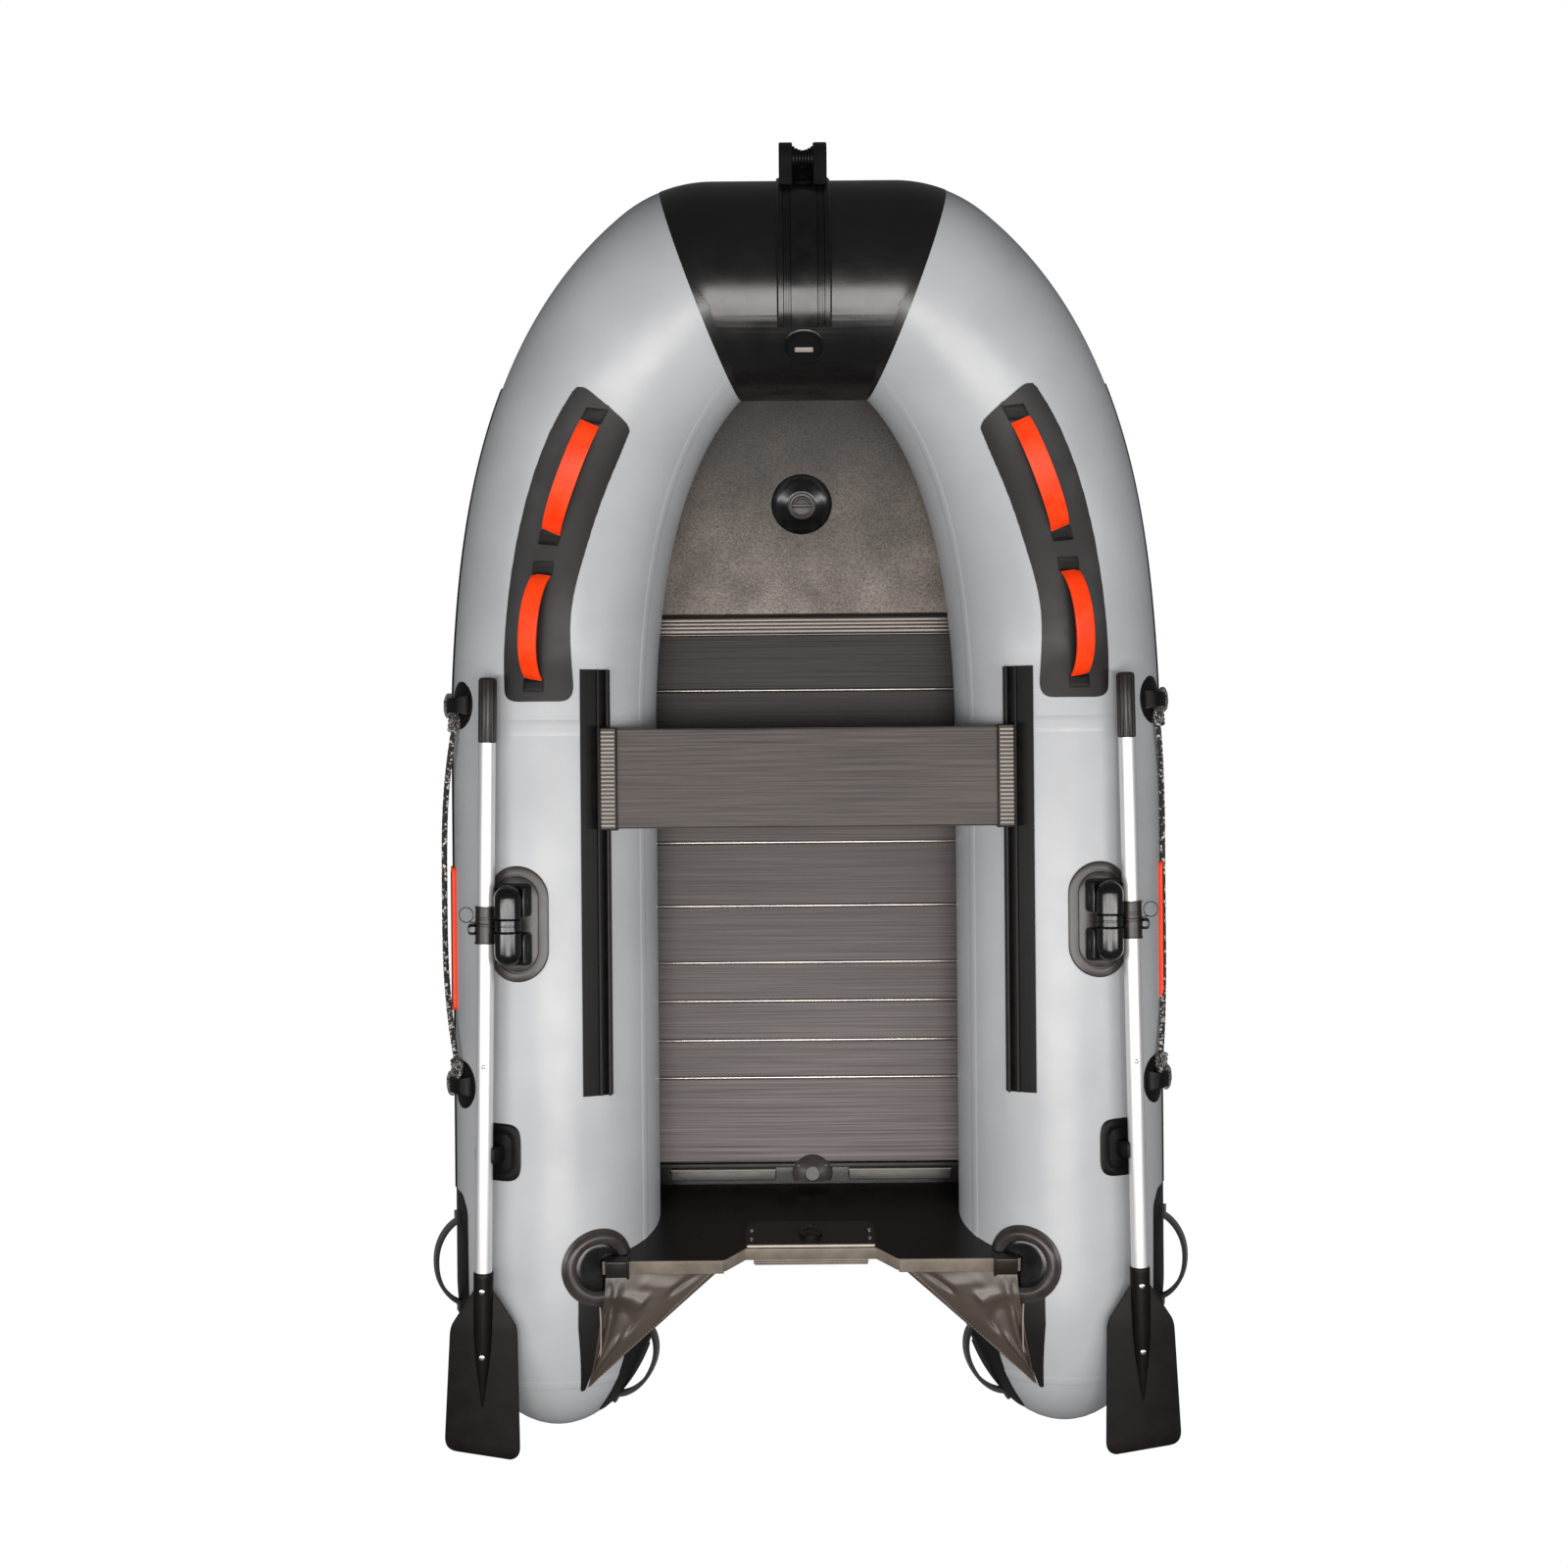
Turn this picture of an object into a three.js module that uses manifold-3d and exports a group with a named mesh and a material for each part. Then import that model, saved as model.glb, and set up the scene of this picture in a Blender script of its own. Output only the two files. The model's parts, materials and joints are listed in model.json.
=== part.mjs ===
// An inflatable dinghy with a slatted floor, a sliding seat, a wooden transom, two stowed oars and a
// bow anchor roller. Millimetres, +X to starboard, +Y to the bow, +Z up. The boat stands on its
// tubes, so the floor it stands on is z = 0, and the origin is midway between its ends.
import * as THREE from "three";
import { mergeVertices } from "three/addons/utils/BufferGeometryUtils.js";
import Module from "manifold-3d";

const wasm = await Module();
wasm.setup();

// ---- Driving dimensions ----
const GAP = 0.3; // between glued pieces
const TUBE_R = 214; // buoyancy tubes
const TUBE_X = 532; // axis of each straight side tube
const TUBE_SIDES = 28;
const TUBE_STEPS = 26;
const STRAIGHT_FROM_Y = 164; // the side tubes are straight aft of this
const CONE_Y = -982; // the stern cones start here
const CONE_L = 320;
const NOSE_Y = 1040; // axis of the bow tube, which lies athwart
const BOW_LIFT = 196; // of the bow tube above the side tubes
const RISE_L = 820; // length of side tube over which the lift is reached
const NOSE_HALF = 180; // straight half of the bow tube
const CORNER_R = 78; // bend radius of the tube axis at the bow corners
const CORNER_TURN = THREE.MathUtils.degToRad(40);
const SEAM_LEAN = THREE.MathUtils.degToRad(6.5); // of the corner's seam, outboard at the top
const CORNER_REACH = 116; // of the Bezier handles on the side tube's plan curve
const SIDE_REACH = 584;

const FLOOR_Z = 80; // underside of the floor slats
const FLOOR_T = 15;
const FLOOR_HALF = 350;
const SLAT_GAP = 3;
// From the joint bar aft: the slats' forward edges, and the last one's aft edge.
const SLAT_EDGES = [374, 250, 138, 29, -83, -222, -346, -430, -516, -598, -784];
const BOW_BOARD_Y = [416, 876];
const BOW_BOARD_TILT = THREE.MathUtils.degToRad(19);
const BOW_BOARD_T = 12;

const SKIN_T = 4; // bottom fabric
const SKIN_DROP = 160; // from the tube axis to where the bottom is glued on
const SKIN_FRONT_Y = 896;
const SKIN_AFT_Y = -880;
const KEEL_DEPTH = 44;

const TRANSOM_T = 25;
const TRANSOM_RAKE = THREE.MathUtils.degToRad(14);
const TRANSOM_FOOT_Y = -838; // forward face at TRANSOM_FOOT_Z
const TRANSOM_FOOT_Z = 90;
const TRANSOM_TOP_Z = 405;
const CUTOUT_Z = 360;
const CUTOUT_HALF = [134, 173]; // at the bottom and top of the sloping shoulders
const PAD_HALF = 134;

const RAIL_Y = [-582, 281];
const RAIL_ANGLES = [-20.2, -37.4].map(THREE.MathUtils.degToRad); // about the tube axis, inboard of the top
const RAIL_T = 4;
const SLOT_X = 413; // centre of the rail's slot
const SLOT_W = 14;
const SLOT_WALL = 4;
const SLOT_TOP_Z = 408;

const SEAT_Y = 59;
const SEAT_W = 200;
const SEAT_T = 18;
const SEAT_Z = 416;
const SEAT_HALF = 418;
const SEAT_CAP_L = 37;

const OARLOCK_Y = -232;
const OARLOCK_ANGLE = THREE.MathUtils.degToRad(15);
const PIVOT_LIFT = 46; // of the lift axis above the tube's skin
const OAR_X = 648; // oar axis at the oarlock
const OAR_Z = 436;
const OAR_TOE = THREE.MathUtils.degToRad(0.9);
const OAR_R = 17;
const GRIP_Y = [134, 265];
const BLADE_Y = [-1305.2, -929];
const BLADE_T = 5;

const ROLLER_REACH = 259; // from the bow tube's axis
const ROLLER_ANGLE = THREE.MathUtils.degToRad(24); // above level
const ROLLER_AXLE_R = 5;
const CHEEK_T = 27;
const CHEEK_GAP = 40;
const CHEEK_R = 29.4;

const ROPE_R = 6;
const HOLDER_Y = [214, -569];
const HOLDER_ANGLE = 58;

// ---- Colours ----
const material = (color, roughness, metalness = 0) =>
  new THREE.MeshStandardMaterial({ color, roughness, metalness });
const greyPvc = material("#b9bcbf", 0.45);
const blackPvc = material("#1c1c1e", 0.4);
const blackRubber = material("#191919", 0.6);
const orangeRubber = material("#f0471c", 0.45);
const slateBoard = material("#57504c", 0.55);
const blackBoard = material("#151516", 0.5);
const aluminium = material("#cfd0d3", 0.25, 1);
const darkPlastic = material("#2b2522", 0.45);
const greyPlastic = material("#8d8d8d", 0.5);
const rope = material("#222222", 0.9);

// ---- Solids ----
function solidOf(geometry) {
  const bare = geometry.index ? geometry.toNonIndexed() : geometry.clone();
  bare.deleteAttribute("normal");
  bare.deleteAttribute("uv");
  const merged = mergeVertices(bare, 1e-3);
  const vertProperties = merged.attributes.position.array;
  const triVerts = new Uint32Array(merged.index.array);
  return new wasm.Manifold(new wasm.Mesh({ numProp: 3, vertProperties, triVerts }));
}

function geometryOf(solid) {
  const { numProp, numVert, vertProperties, triVerts } = solid.simplify(0.02).getMesh();
  const points = new Float32Array(numVert * 3);
  for (let i = 0; i < numVert; i++)
    points.set(vertProperties.subarray(i * numProp, i * numProp + 3), i * 3);
  const geometry = new THREE.BufferGeometry();
  geometry.setAttribute("position", new THREE.BufferAttribute(points, 3));
  geometry.setIndex(new THREE.BufferAttribute(triVerts, 1));
  geometry.computeVertexNormals();
  return geometry;
}

const union = (...geometries) =>
  geometryOf(geometries.map(solidOf).reduce((all, next) => all.add(next)));
const cut = (geometry, ...cutters) =>
  geometryOf(cutters.map(solidOf).reduce((left, next) => left.subtract(next), solidOf(geometry)));

const box = (w, l, h, x, y, z) => new THREE.BoxGeometry(w, l, h).translate(x, y, z);
const shapeOf = (points) => new THREE.Shape(points.map(([x, y]) => new THREE.Vector2(x, y)));
const extrude = (shape, depth, curveSegments = 8) =>
  new THREE.ExtrudeGeometry(shape, { depth, bevelEnabled: false, curveSegments });
const lathe = (profile, segments) =>
  new THREE.LatheGeometry(profile.map(([r, h]) => new THREE.Vector2(r, h)), segments);
// A section in (y, z), extruded athwart from x = from to x = to.
const extrudeAthwart = (shape, from, to, curveSegments) =>
  extrude(shape, to - from, curveSegments)
    .applyMatrix4(new THREE.Matrix4().set(0, 0, 1, from, 1, 0, 0, 0, 0, 1, 0, 0, 0, 0, 0, 1));
// A section in (x, z), extruded fore and aft from y = from to y = to.
const extrudeForeAft = (shape, from, to, curveSegments) =>
  extrude(shape, to - from, curveSegments).rotateX(Math.PI / 2).translate(0, to, 0);

// ---- The side tube's axis ----
const corner = new THREE.Vector3(NOSE_HALF, NOSE_Y - CORNER_R, TUBE_R + BOW_LIFT);
const heading = new THREE.Vector3(Math.cos(CORNER_TURN), -Math.sin(CORNER_TURN), 0);
const sideStart = new THREE.Vector3(Math.sin(CORNER_TURN), Math.cos(CORNER_TURN), 0)
  .multiplyScalar(CORNER_R).add(corner).setZ(0);

class SideTubeAxis extends THREE.Curve {
  constructor() {
    super();
    this.plan = new THREE.CurvePath();
    const straight = new THREE.Vector3(TUBE_X, STRAIGHT_FROM_Y, 0);
    this.plan.add(new THREE.CubicBezierCurve3(
      sideStart,
      sideStart.clone().addScaledVector(heading, CORNER_REACH),
      straight.clone().setY(STRAIGHT_FROM_Y + SIDE_REACH),
      straight,
    ));
    this.plan.add(new THREE.LineCurve3(straight, new THREE.Vector3(TUBE_X, CONE_Y, 0)));
    this.planLength = this.plan.getLength();
  }

  getPoint(t, target = new THREE.Vector3()) {
    const risen = 1 - THREE.MathUtils.smoothstep(t * this.planLength, 0, RISE_L);
    return target.copy(this.plan.getPoint(t)).setZ(TUBE_R + BOW_LIFT * risen);
  }
}
const sideAxis = new SideTubeAxis();

// Where along the axis a falling measure of it reaches y, found by halving.
function stationOf(y, measure) {
  let [low, high] = [0, 1];
  for (let i = 0; i < 40; i++) {
    const middle = (low + high) / 2;
    if (measure(middle) > y) low = middle;
    else high = middle;
  }
  return low;
}

function tubeAt(y) {
  const t = stationOf(y, (s) => sideAxis.getPoint(s).y);
  return { point: sideAxis.getPoint(t), tangent: sideAxis.getTangent(t) };
}

// How far from the centreline the tube's inboard skin is at a station and height.
function inboardSkin(y, z, gap) {
  const { point, tangent } = tubeAt(y);
  const drop = point.z - z;
  const reach = Math.sqrt(Math.max((TUBE_R + gap) ** 2 - drop ** 2, 0));
  return point.x - reach / Math.abs(tangent.y);
}

// A frame on the tube's skin at a station y, `angle` outboard of the top: local X runs down the
// outboard side, Y towards the bow and Z outwards.
function skinFrame(y, angle, lift = 0) {
  const frameAt = (t) => {
    const along = sideAxis.getTangent(t).negate();
    const outboard = new THREE.Vector3(along.y, -along.x, 0).normalize();
    const up = new THREE.Vector3().crossVectors(outboard, along);
    const normal = up.multiplyScalar(Math.cos(angle)).addScaledVector(outboard, Math.sin(angle));
    const origin = sideAxis.getPoint(t).addScaledVector(normal, TUBE_R + lift);
    return new THREE.Matrix4()
      .makeBasis(new THREE.Vector3().crossVectors(along, normal), along, normal)
      .setPosition(origin);
  };
  return frameAt(stationOf(y, (t) => frameAt(t).elements[13]));
}

// ---- Buoyancy tubes ----
const circle = (r) => new THREE.Shape().absarc(0, 0, r, 0, 2 * Math.PI);

function sideSweep(r) {
  return new THREE.ExtrudeGeometry(circle(r), {
    steps: TUBE_STEPS, extrudePath: sideAxis, curveSegments: TUBE_SIDES / 2,
  });
}

// The bend at a bow corner: a slice of the tube circle turned about the corner's upright axis.
function cornerElbow(r) {
  const profile = [];
  for (let i = 0; i <= TUBE_SIDES / 2; i++) {
    const a = (i / TUBE_SIDES) * 2 * Math.PI;
    profile.push([CORNER_R + r * Math.sin(a), r * Math.cos(a)]);
  }
  const tip = Math.sqrt(r ** 2 - CORNER_R ** 2);
  const ring = lathe([[0, -tip], ...profile.reverse(), [0, tip]], 72)
    .rotateX(Math.PI / 2).translate(...corner.toArray());
  const spill = THREE.MathUtils.degToRad(1);
  const far = 900;
  const ray = (a) => [far * Math.sin(a), far * Math.cos(a)];
  const wedge = extrude(shapeOf([[0, 0], ray(CORNER_TURN + spill), ray(-spill)]), 2 * far)
    .translate(corner.x, corner.y, corner.z - far);
  return geometryOf(solidOf(ring).intersect(solidOf(wedge)));
}

// All that lies on the side tube's side of the seam at the bow corner. The seam leans outboard.
function beyondSeam(gap) {
  const size = 5000;
  return box(size, size, size, size / 2 + gap / 2, 0, 0)
    .rotateY(SEAM_LEAN).rotateZ(-CORNER_TURN / 2).translate(...corner.toArray());
}

const mirrored = (geometry) => {
  const solid = solidOf(geometry).mirror([1, 0, 0]);
  return geometryOf(solid);
};

// Half of the bow tube, its corner and the side tube in one piece, before the seam divides it.
const wholeSide = () => union(
  new THREE.CylinderGeometry(TUBE_R, TUBE_R, 2 * NOSE_HALF, TUBE_SIDES)
    .rotateZ(Math.PI / 2).translate(0, NOSE_Y, TUBE_R + BOW_LIFT),
  cornerElbow(TUBE_R),
  sideSweep(TUBE_R),
);

function bowTube() {
  const beyond = beyondSeam(-GAP);
  const half = wholeSide();
  return cut(union(half, mirrored(half)), beyond, mirrored(beyond));
}

const sideTube = () =>
  geometryOf(solidOf(wholeSide()).intersect(solidOf(beyondSeam(GAP))));

function sternCone(r = TUBE_R) {
  const rings = 9;
  const profile = [];
  for (let i = 0; i <= rings; i++) {
    const a = (i / rings) * (Math.PI / 2);
    profile.push([r * Math.sin(a), -(CONE_L + r - TUBE_R) * Math.cos(a)]);
  }
  return lathe([...profile, [0, 0]], TUBE_SIDES).translate(TUBE_X, CONE_Y - GAP, TUBE_R);
}

// A slightly larger copy of everything that the small pieces are glued to.
const CUTTER_R = TUBE_R + 2 * GAP;
const sideCutter = solidOf(sideSweep(CUTTER_R)).add(solidOf(sternCone(CUTTER_R)));
const trim = (geometry) => geometryOf(solidOf(geometry).subtract(sideCutter));

// ---- Bottom and floor ----
// The bottom fabric: a thin sheet glued to the undersides of the tubes, with a keel ridge.
function bottomSkin() {
  const [across, along] = [8, 22];
  const sheet = new THREE.BoxGeometry(1, 1, SKIN_T, across, along, 1);
  const p = sheet.attributes.position;
  for (let i = 0; i < p.count; i++) {
    const y = THREE.MathUtils.lerp(SKIN_AFT_Y, SKIN_FRONT_Y, p.getY(i) + 0.5);
    const edgeZ = tubeAt(y).point.z - SKIN_DROP;
    const u = 2 * p.getX(i);
    const ridge = KEEL_DEPTH * (1 - THREE.MathUtils.smoothstep(Math.abs(u), 0, 1));
    p.setXYZ(i, u * (inboardSkin(y, edgeZ, 4) - 1), y, edgeZ - ridge + p.getZ(i));
  }
  return sheet;
}

function slat(foreY, aftY, half) {
  const [top, chamfer] = [FLOOR_Z + FLOOR_T, 3];
  const section = shapeOf([
    [aftY, FLOOR_Z], [foreY, FLOOR_Z], [foreY, top - chamfer], [foreY - chamfer, top],
    [aftY + chamfer, top], [aftY, top - chamfer],
  ]);
  return extrudeAthwart(section, -half, half);
}

// The one-piece bow board, laid up the slope of the bow between the tubes.
function bowBoard() {
  const length = (BOW_BOARD_Y[1] - BOW_BOARD_Y[0]) / Math.cos(BOW_BOARD_TILT);
  const stations = 7;
  const edge = [];
  for (let i = 0; i <= stations; i++) {
    const d = (i / stations) * length;
    const y = BOW_BOARD_Y[0] + d * Math.cos(BOW_BOARD_TILT);
    const z = FLOOR_Z + d * Math.sin(BOW_BOARD_TILT);
    edge.push([inboardSkin(y, z + BOW_BOARD_T, 8), d]);
  }
  const outline = [...edge, ...edge.map(([x, d]) => [-x, d]).reverse()];
  return extrude(shapeOf(outline), BOW_BOARD_T)
    .rotateX(BOW_BOARD_TILT).translate(0, BOW_BOARD_Y[0], FLOOR_Z + 2);
}

// ---- Transom ----
// Lays a flat piece drawn upright in (x, height) against the raked forward face, `back` behind it.
const onTransom = (shape, thickness, back, curveSegments) =>
  extrude(shape, thickness, curveSegments)
    .rotateX(Math.PI / 2).translate(0, -back, 0)
    .rotateX(TRANSOM_RAKE).translate(0, TRANSOM_FOOT_Y, TRANSOM_FOOT_Z);
const slope = (z) => (z - TRANSOM_FOOT_Z) / Math.cos(TRANSOM_RAKE);

function transomBoard() {
  const half = [
    [CUTOUT_HALF[0], slope(CUTOUT_Z)], [CUTOUT_HALF[1], slope(TRANSOM_TOP_Z)],
    [424, slope(TRANSOM_TOP_Z)], [424, slope(80)], [330, slope(68)], [190, slope(52)],
    [0, slope(32)],
  ];
  const other = half.slice(0, -1).reverse().map(([x, z]) => [-x, z]);
  return trimBothSides(onTransom(shapeOf([...half, ...other]), TRANSOM_T, 0));
}

const trimBothSides = (geometry) => mirrored(trim(mirrored(trim(geometry))));

function motorPad(half, bottomZ, round) {
  const shape = new THREE.Shape();
  const [top, bottom] = [slope(CUTOUT_Z - 1), slope(bottomZ)];
  shape.moveTo(-half, top);
  shape.lineTo(-half, bottom + round);
  shape.absarc(-half + round, bottom + round, round, Math.PI, 1.5 * Math.PI);
  shape.absarc(half - round, bottom + round, round, 1.5 * Math.PI, 2 * Math.PI);
  shape.lineTo(half, top);
  return shape;
}

const holderPlace = () => skinFrame(-930, THREE.MathUtils.degToRad(-28.5));

// A moulded rubber ring on the tube that holds the transom's end.
function transomHolder() {
  const ring = lathe([
    [50, -12], [78, -12], [78, 4], [72, 10], [62, 12], [54, 10], [50, 6], [50, -12],
  ], 28).rotateX(Math.PI / 2);
  const place = holderPlace();
  const board = onTransom(shapeOf([[0, -60], [426, -60], [426, 420], [0, 420]]), TRANSOM_T + 2, -1);
  return cut(trim(ring.applyMatrix4(place)), board);
}

// The triangular fabric brace between the transom's top and the tube.
function transomGusset() {
  const corners = [[420, -948, 402], [190, -948, 380], [440, -1160, 372]]
    .map((c) => new THREE.Vector3(...c));
  const [a, b, c] = corners;
  const along = b.clone().sub(a);
  const normal = along.clone().cross(c.clone().sub(a)).normalize();
  const x = along.clone().normalize();
  const y = normal.clone().cross(x);
  const flat = corners.map((p) => [p.clone().sub(a).dot(x), p.clone().sub(a).dot(y)]);
  const room = new THREE.CylinderGeometry(80, 80, 60, 24).rotateX(Math.PI / 2)
    .applyMatrix4(holderPlace());
  return cut(trim(extrude(shapeOf(flat), SKIN_T)
    .applyMatrix4(new THREE.Matrix4().makeBasis(x, y, normal).setPosition(a))), room);
}

// ---- Seat and rails ----
// A point at radius r and an angle about the straight side tube, as (x, z).
const aroundTube = (r, a) => [TUBE_X + r * Math.sin(a), TUBE_R + r * Math.cos(a)];

function seatRail() {
  const [outer, inner] = RAIL_ANGLES;
  const steps = 6;
  const arc = (r) => Array.from({ length: steps + 1 }, (_, i) =>
    aroundTube(r, THREE.MathUtils.lerp(outer, inner, i / steps)));
  const strip = extrudeForeAft(
    shapeOf([...arc(TUBE_R + GAP), ...arc(TUBE_R + RAIL_T).reverse()].reverse()), ...RAIL_Y);
  const walls = [-1, 1].map((side) => {
    const x = SLOT_X + side * (SLOT_W + SLOT_WALL) / 2;
    const foot = TUBE_R + Math.sqrt(TUBE_R ** 2 - (TUBE_X - x) ** 2) - 2;
    return box(SLOT_WALL, RAIL_Y[1] - RAIL_Y[0], SLOT_TOP_Z - foot,
      x, (RAIL_Y[0] + RAIL_Y[1]) / 2, (SLOT_TOP_Z + foot) / 2);
  });
  return trim(union(strip, ...walls));
}

function seatCap() {
  const proud = 3;
  const inner = SEAT_HALF - SEAT_CAP_L;
  const [bottom, top] = [SEAT_Z - proud, SEAT_Z + SEAT_T + proud];
  const cap = box(SEAT_CAP_L - GAP, SEAT_W + 6, top - bottom,
    SEAT_HALF - (SEAT_CAP_L - GAP) / 2, SEAT_Y, (top + bottom) / 2);
  const runner = box(4, SEAT_W - 20, 16, SLOT_X, SEAT_Y, bottom - 6);
  const socket = box(26, SEAT_W + 1, SEAT_T + 1, inner + 12, SEAT_Y, SEAT_Z + SEAT_T / 2);
  return cut(union(cap, runner), socket);
}

function seatBoard() {
  const half = SEAT_HALF - SEAT_CAP_L + 24;
  const shape = shapeOf([
    [-SEAT_W / 2, 3], [-SEAT_W / 2 + 3, 0], [SEAT_W / 2 - 3, 0], [SEAT_W / 2, 3],
    [SEAT_W / 2, SEAT_T - 3], [SEAT_W / 2 - 3, SEAT_T], [-SEAT_W / 2 + 3, SEAT_T],
    [-SEAT_W / 2, SEAT_T - 3],
  ]);
  return extrudeAthwart(shape, -half, half).translate(0, SEAT_Y, SEAT_Z);
}

// ---- Oarlocks and oars ----
const pivotR = TUBE_R + PIVOT_LIFT;
const pivot = new THREE.Vector3(
  TUBE_X + pivotR * Math.sin(OARLOCK_ANGLE), OARLOCK_Y, TUBE_R + pivotR * Math.cos(OARLOCK_ANGLE));
const armLength = Math.hypot(OAR_X - pivot.x, OAR_Z - pivot.z);
const armAngle = Math.atan2(OAR_Z - pivot.z, OAR_X - pivot.x);
const LOBE_R = 28;
const LOBE_L = 68;
const RING_W = 24;
const RING_SLOT = 28;
const AXLE_R = 6;

// A cylinder or lathe built along Y, moved to the pivot.
const atPivot = (geometry, y = 0) => geometry.translate(pivot.x, pivot.y + y, pivot.z);

function oarlockBase() {
  const stadium = new THREE.Shape()
    .absarc(0, 52, 65, 0, Math.PI).absarc(0, -52, 65, Math.PI, 2 * Math.PI);
  const place = skinFrame(OARLOCK_Y, OARLOCK_ANGLE);
  const flange = extrude(stadium, 28, 10).translate(0, 0, -22).applyMatrix4(place);
  const pedestal = box(34, 2 * LOBE_L + RING_SLOT - 24, 40, 0, 0, 20).applyMatrix4(place);
  const slot = box(90, RING_SLOT, 80, 0, 0, 46).applyMatrix4(place);
  const lobes = [-1, 1].map((side) => {
    const flat = LOBE_L - LOBE_R;
    const arc = Array.from({ length: 6 }, (_, i) => {
      const a = (i / 5) * (Math.PI / 2);
      return [LOBE_R * Math.cos(a), flat + LOBE_R * Math.sin(a)];
    });
    const lobe = lathe([[0, 0], [LOBE_R, 0], ...arc.slice(0, -1), [0, LOBE_L]], 20);
    return atPivot(side > 0 ? lobe : lobe.rotateZ(Math.PI), side * RING_SLOT / 2);
  });
  const axle = atPivot(new THREE.CylinderGeometry(AXLE_R, AXLE_R, RING_SLOT + 20, 12));
  return trim(union(cut(union(flange, pedestal, ...lobes), slot), axle));
}

function oarlockRing() {
  const profile = [[7, -RING_W / 2], [26, -RING_W / 2], [26, RING_W / 2], [7, RING_W / 2]];
  const ring = lathe([...profile, profile[0]], 24);
  const studEnd = armLength - OAR_R - 2 * GAP - 6.3;
  const stud = new THREE.CylinderGeometry(6, 6, studEnd - 20, 12)
    .rotateZ(-Math.PI / 2).translate(20 + (studEnd - 20) / 2, 0, 0).rotateY(-armAngle);
  return atPivot(union(ring, stud));
}

// Oar pieces are built along Y about the oar's own axis, with y = 0 at the oarlock.
const onOar = (geometry) =>
  geometry.rotateZ(OAR_TOE).translate(OAR_X, OARLOCK_Y, OAR_Z);
const fromOarlock = (y) => y - OARLOCK_Y;

function oarSleeve() {
  const [inner, outer, half] = [OAR_R + GAP, 22.5, 37.5];
  return onOar(lathe([
    [inner, -half], [outer, -half], [outer, -half + 8], [outer - 2, -half + 10],
    [outer - 2, half - 10], [outer, half - 8], [outer, half], [inner, half], [inner, -half],
  ], 24));
}

function oarShaft() {
  const [from, to] = [fromOarlock(BLADE_Y[1]) + GAP, fromOarlock(GRIP_Y[0]) - GAP];
  return onOar(new THREE.CylinderGeometry(OAR_R, OAR_R, to - from, 20)
    .translate(0, (from + to) / 2, 0));
}

function oarGrip() {
  const [from, to] = GRIP_Y.map(fromOarlock);
  const r = 18.5;
  return onOar(lathe([
    [0, from], [r - 1, from], [r, from + 3], [r, to - 6], [r - 4, to], [0, to],
  ], 20));
}

function oarBlade() {
  const [tip, root] = BLADE_Y.map(fromOarlock);
  const outline = new THREE.Shape();
  outline.moveTo(-12, root - 20);
  outline.lineTo(-18, root - 34);
  outline.lineTo(-62, root - 100);
  outline.quadraticCurveTo(-68, root - 110, -69, root - 125);
  outline.lineTo(-76, tip + 26);
  outline.quadraticCurveTo(-77, tip + 2, -56, tip);
  outline.lineTo(52, tip + 16);
  outline.quadraticCurveTo(76, tip + 20, 75, tip + 46);
  outline.lineTo(67, root - 125);
  outline.quadraticCurveTo(66, root - 110, 60, root - 100);
  outline.lineTo(18, root - 34);
  outline.lineTo(12, root - 20);
  const plate = extrude(outline, BLADE_T, 5).translate(0, 0, -BLADE_T / 2);
  const spine = lathe([[0, tip + 100], [3, tip + 102], [13, root - 190], [18.5, root - 120],
    [20, root - 4], [19, root], [0, root]], 18);
  return onOar(union(plate, spine));
}

// The rubber rest that the shaft snaps into, aft of the oarlock.
function oarClip() {
  const y = -694;
  const shaftX = OAR_X + (OARLOCK_Y - y) * Math.tan(OAR_TOE);
  const rounded = new THREE.Shape();
  const [w, l, r] = [54, 58, 30];
  rounded.absarc(w - r, l - r, r, 0, Math.PI / 2).absarc(r - w, l - r, r, Math.PI / 2, Math.PI)
    .absarc(r - w, r - l, r, Math.PI, 1.5 * Math.PI).absarc(w - r, r - l, r, 1.5 * Math.PI, 2 * Math.PI);
  const base = extrude(rounded, 24, 5).translate(0, 0, -18)
    .applyMatrix4(skinFrame(y, THREE.MathUtils.degToRad(28.5)));
  const lean = Math.atan2(shaftX - TUBE_X, OAR_Z - TUBE_R);
  const cradle = box(46, 34, 40, 0, 0, -20).rotateY(lean).translate(shaftX, y, OAR_Z);
  const groove = new THREE.CylinderGeometry(OAR_R + 2, OAR_R + 2, 160, 20)
    .rotateZ(OAR_TOE).translate(shaftX, y, OAR_Z);
  const mouth = box(2 * OAR_R + 4, 60, 40, 0, 0, 20).rotateY(lean).translate(shaftX, y, OAR_Z);
  return trim(cut(union(base, cradle), groove, mouth));
}

// ---- Handles, loops and ropes ----
// An arched strap between two stations, `angle` outboard of the tube's top, leaning by `lean`.
function strap({ yAft, yFore, angle, lean = 0, rise, width, thickness, foot }) {
  const [aft, fore] = [yAft, yFore].map((y) => skinFrame(y, THREE.MathUtils.degToRad(angle)));
  const [p, q] = [aft, fore].map((m) => new THREE.Vector3().setFromMatrixPosition(m));
  return strapBetween(p, q, new THREE.Vector3().setFromMatrixColumn(aft, 2)
    .add(new THREE.Vector3().setFromMatrixColumn(fore, 2)), { lean, rise, width, thickness, foot });
}

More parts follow.
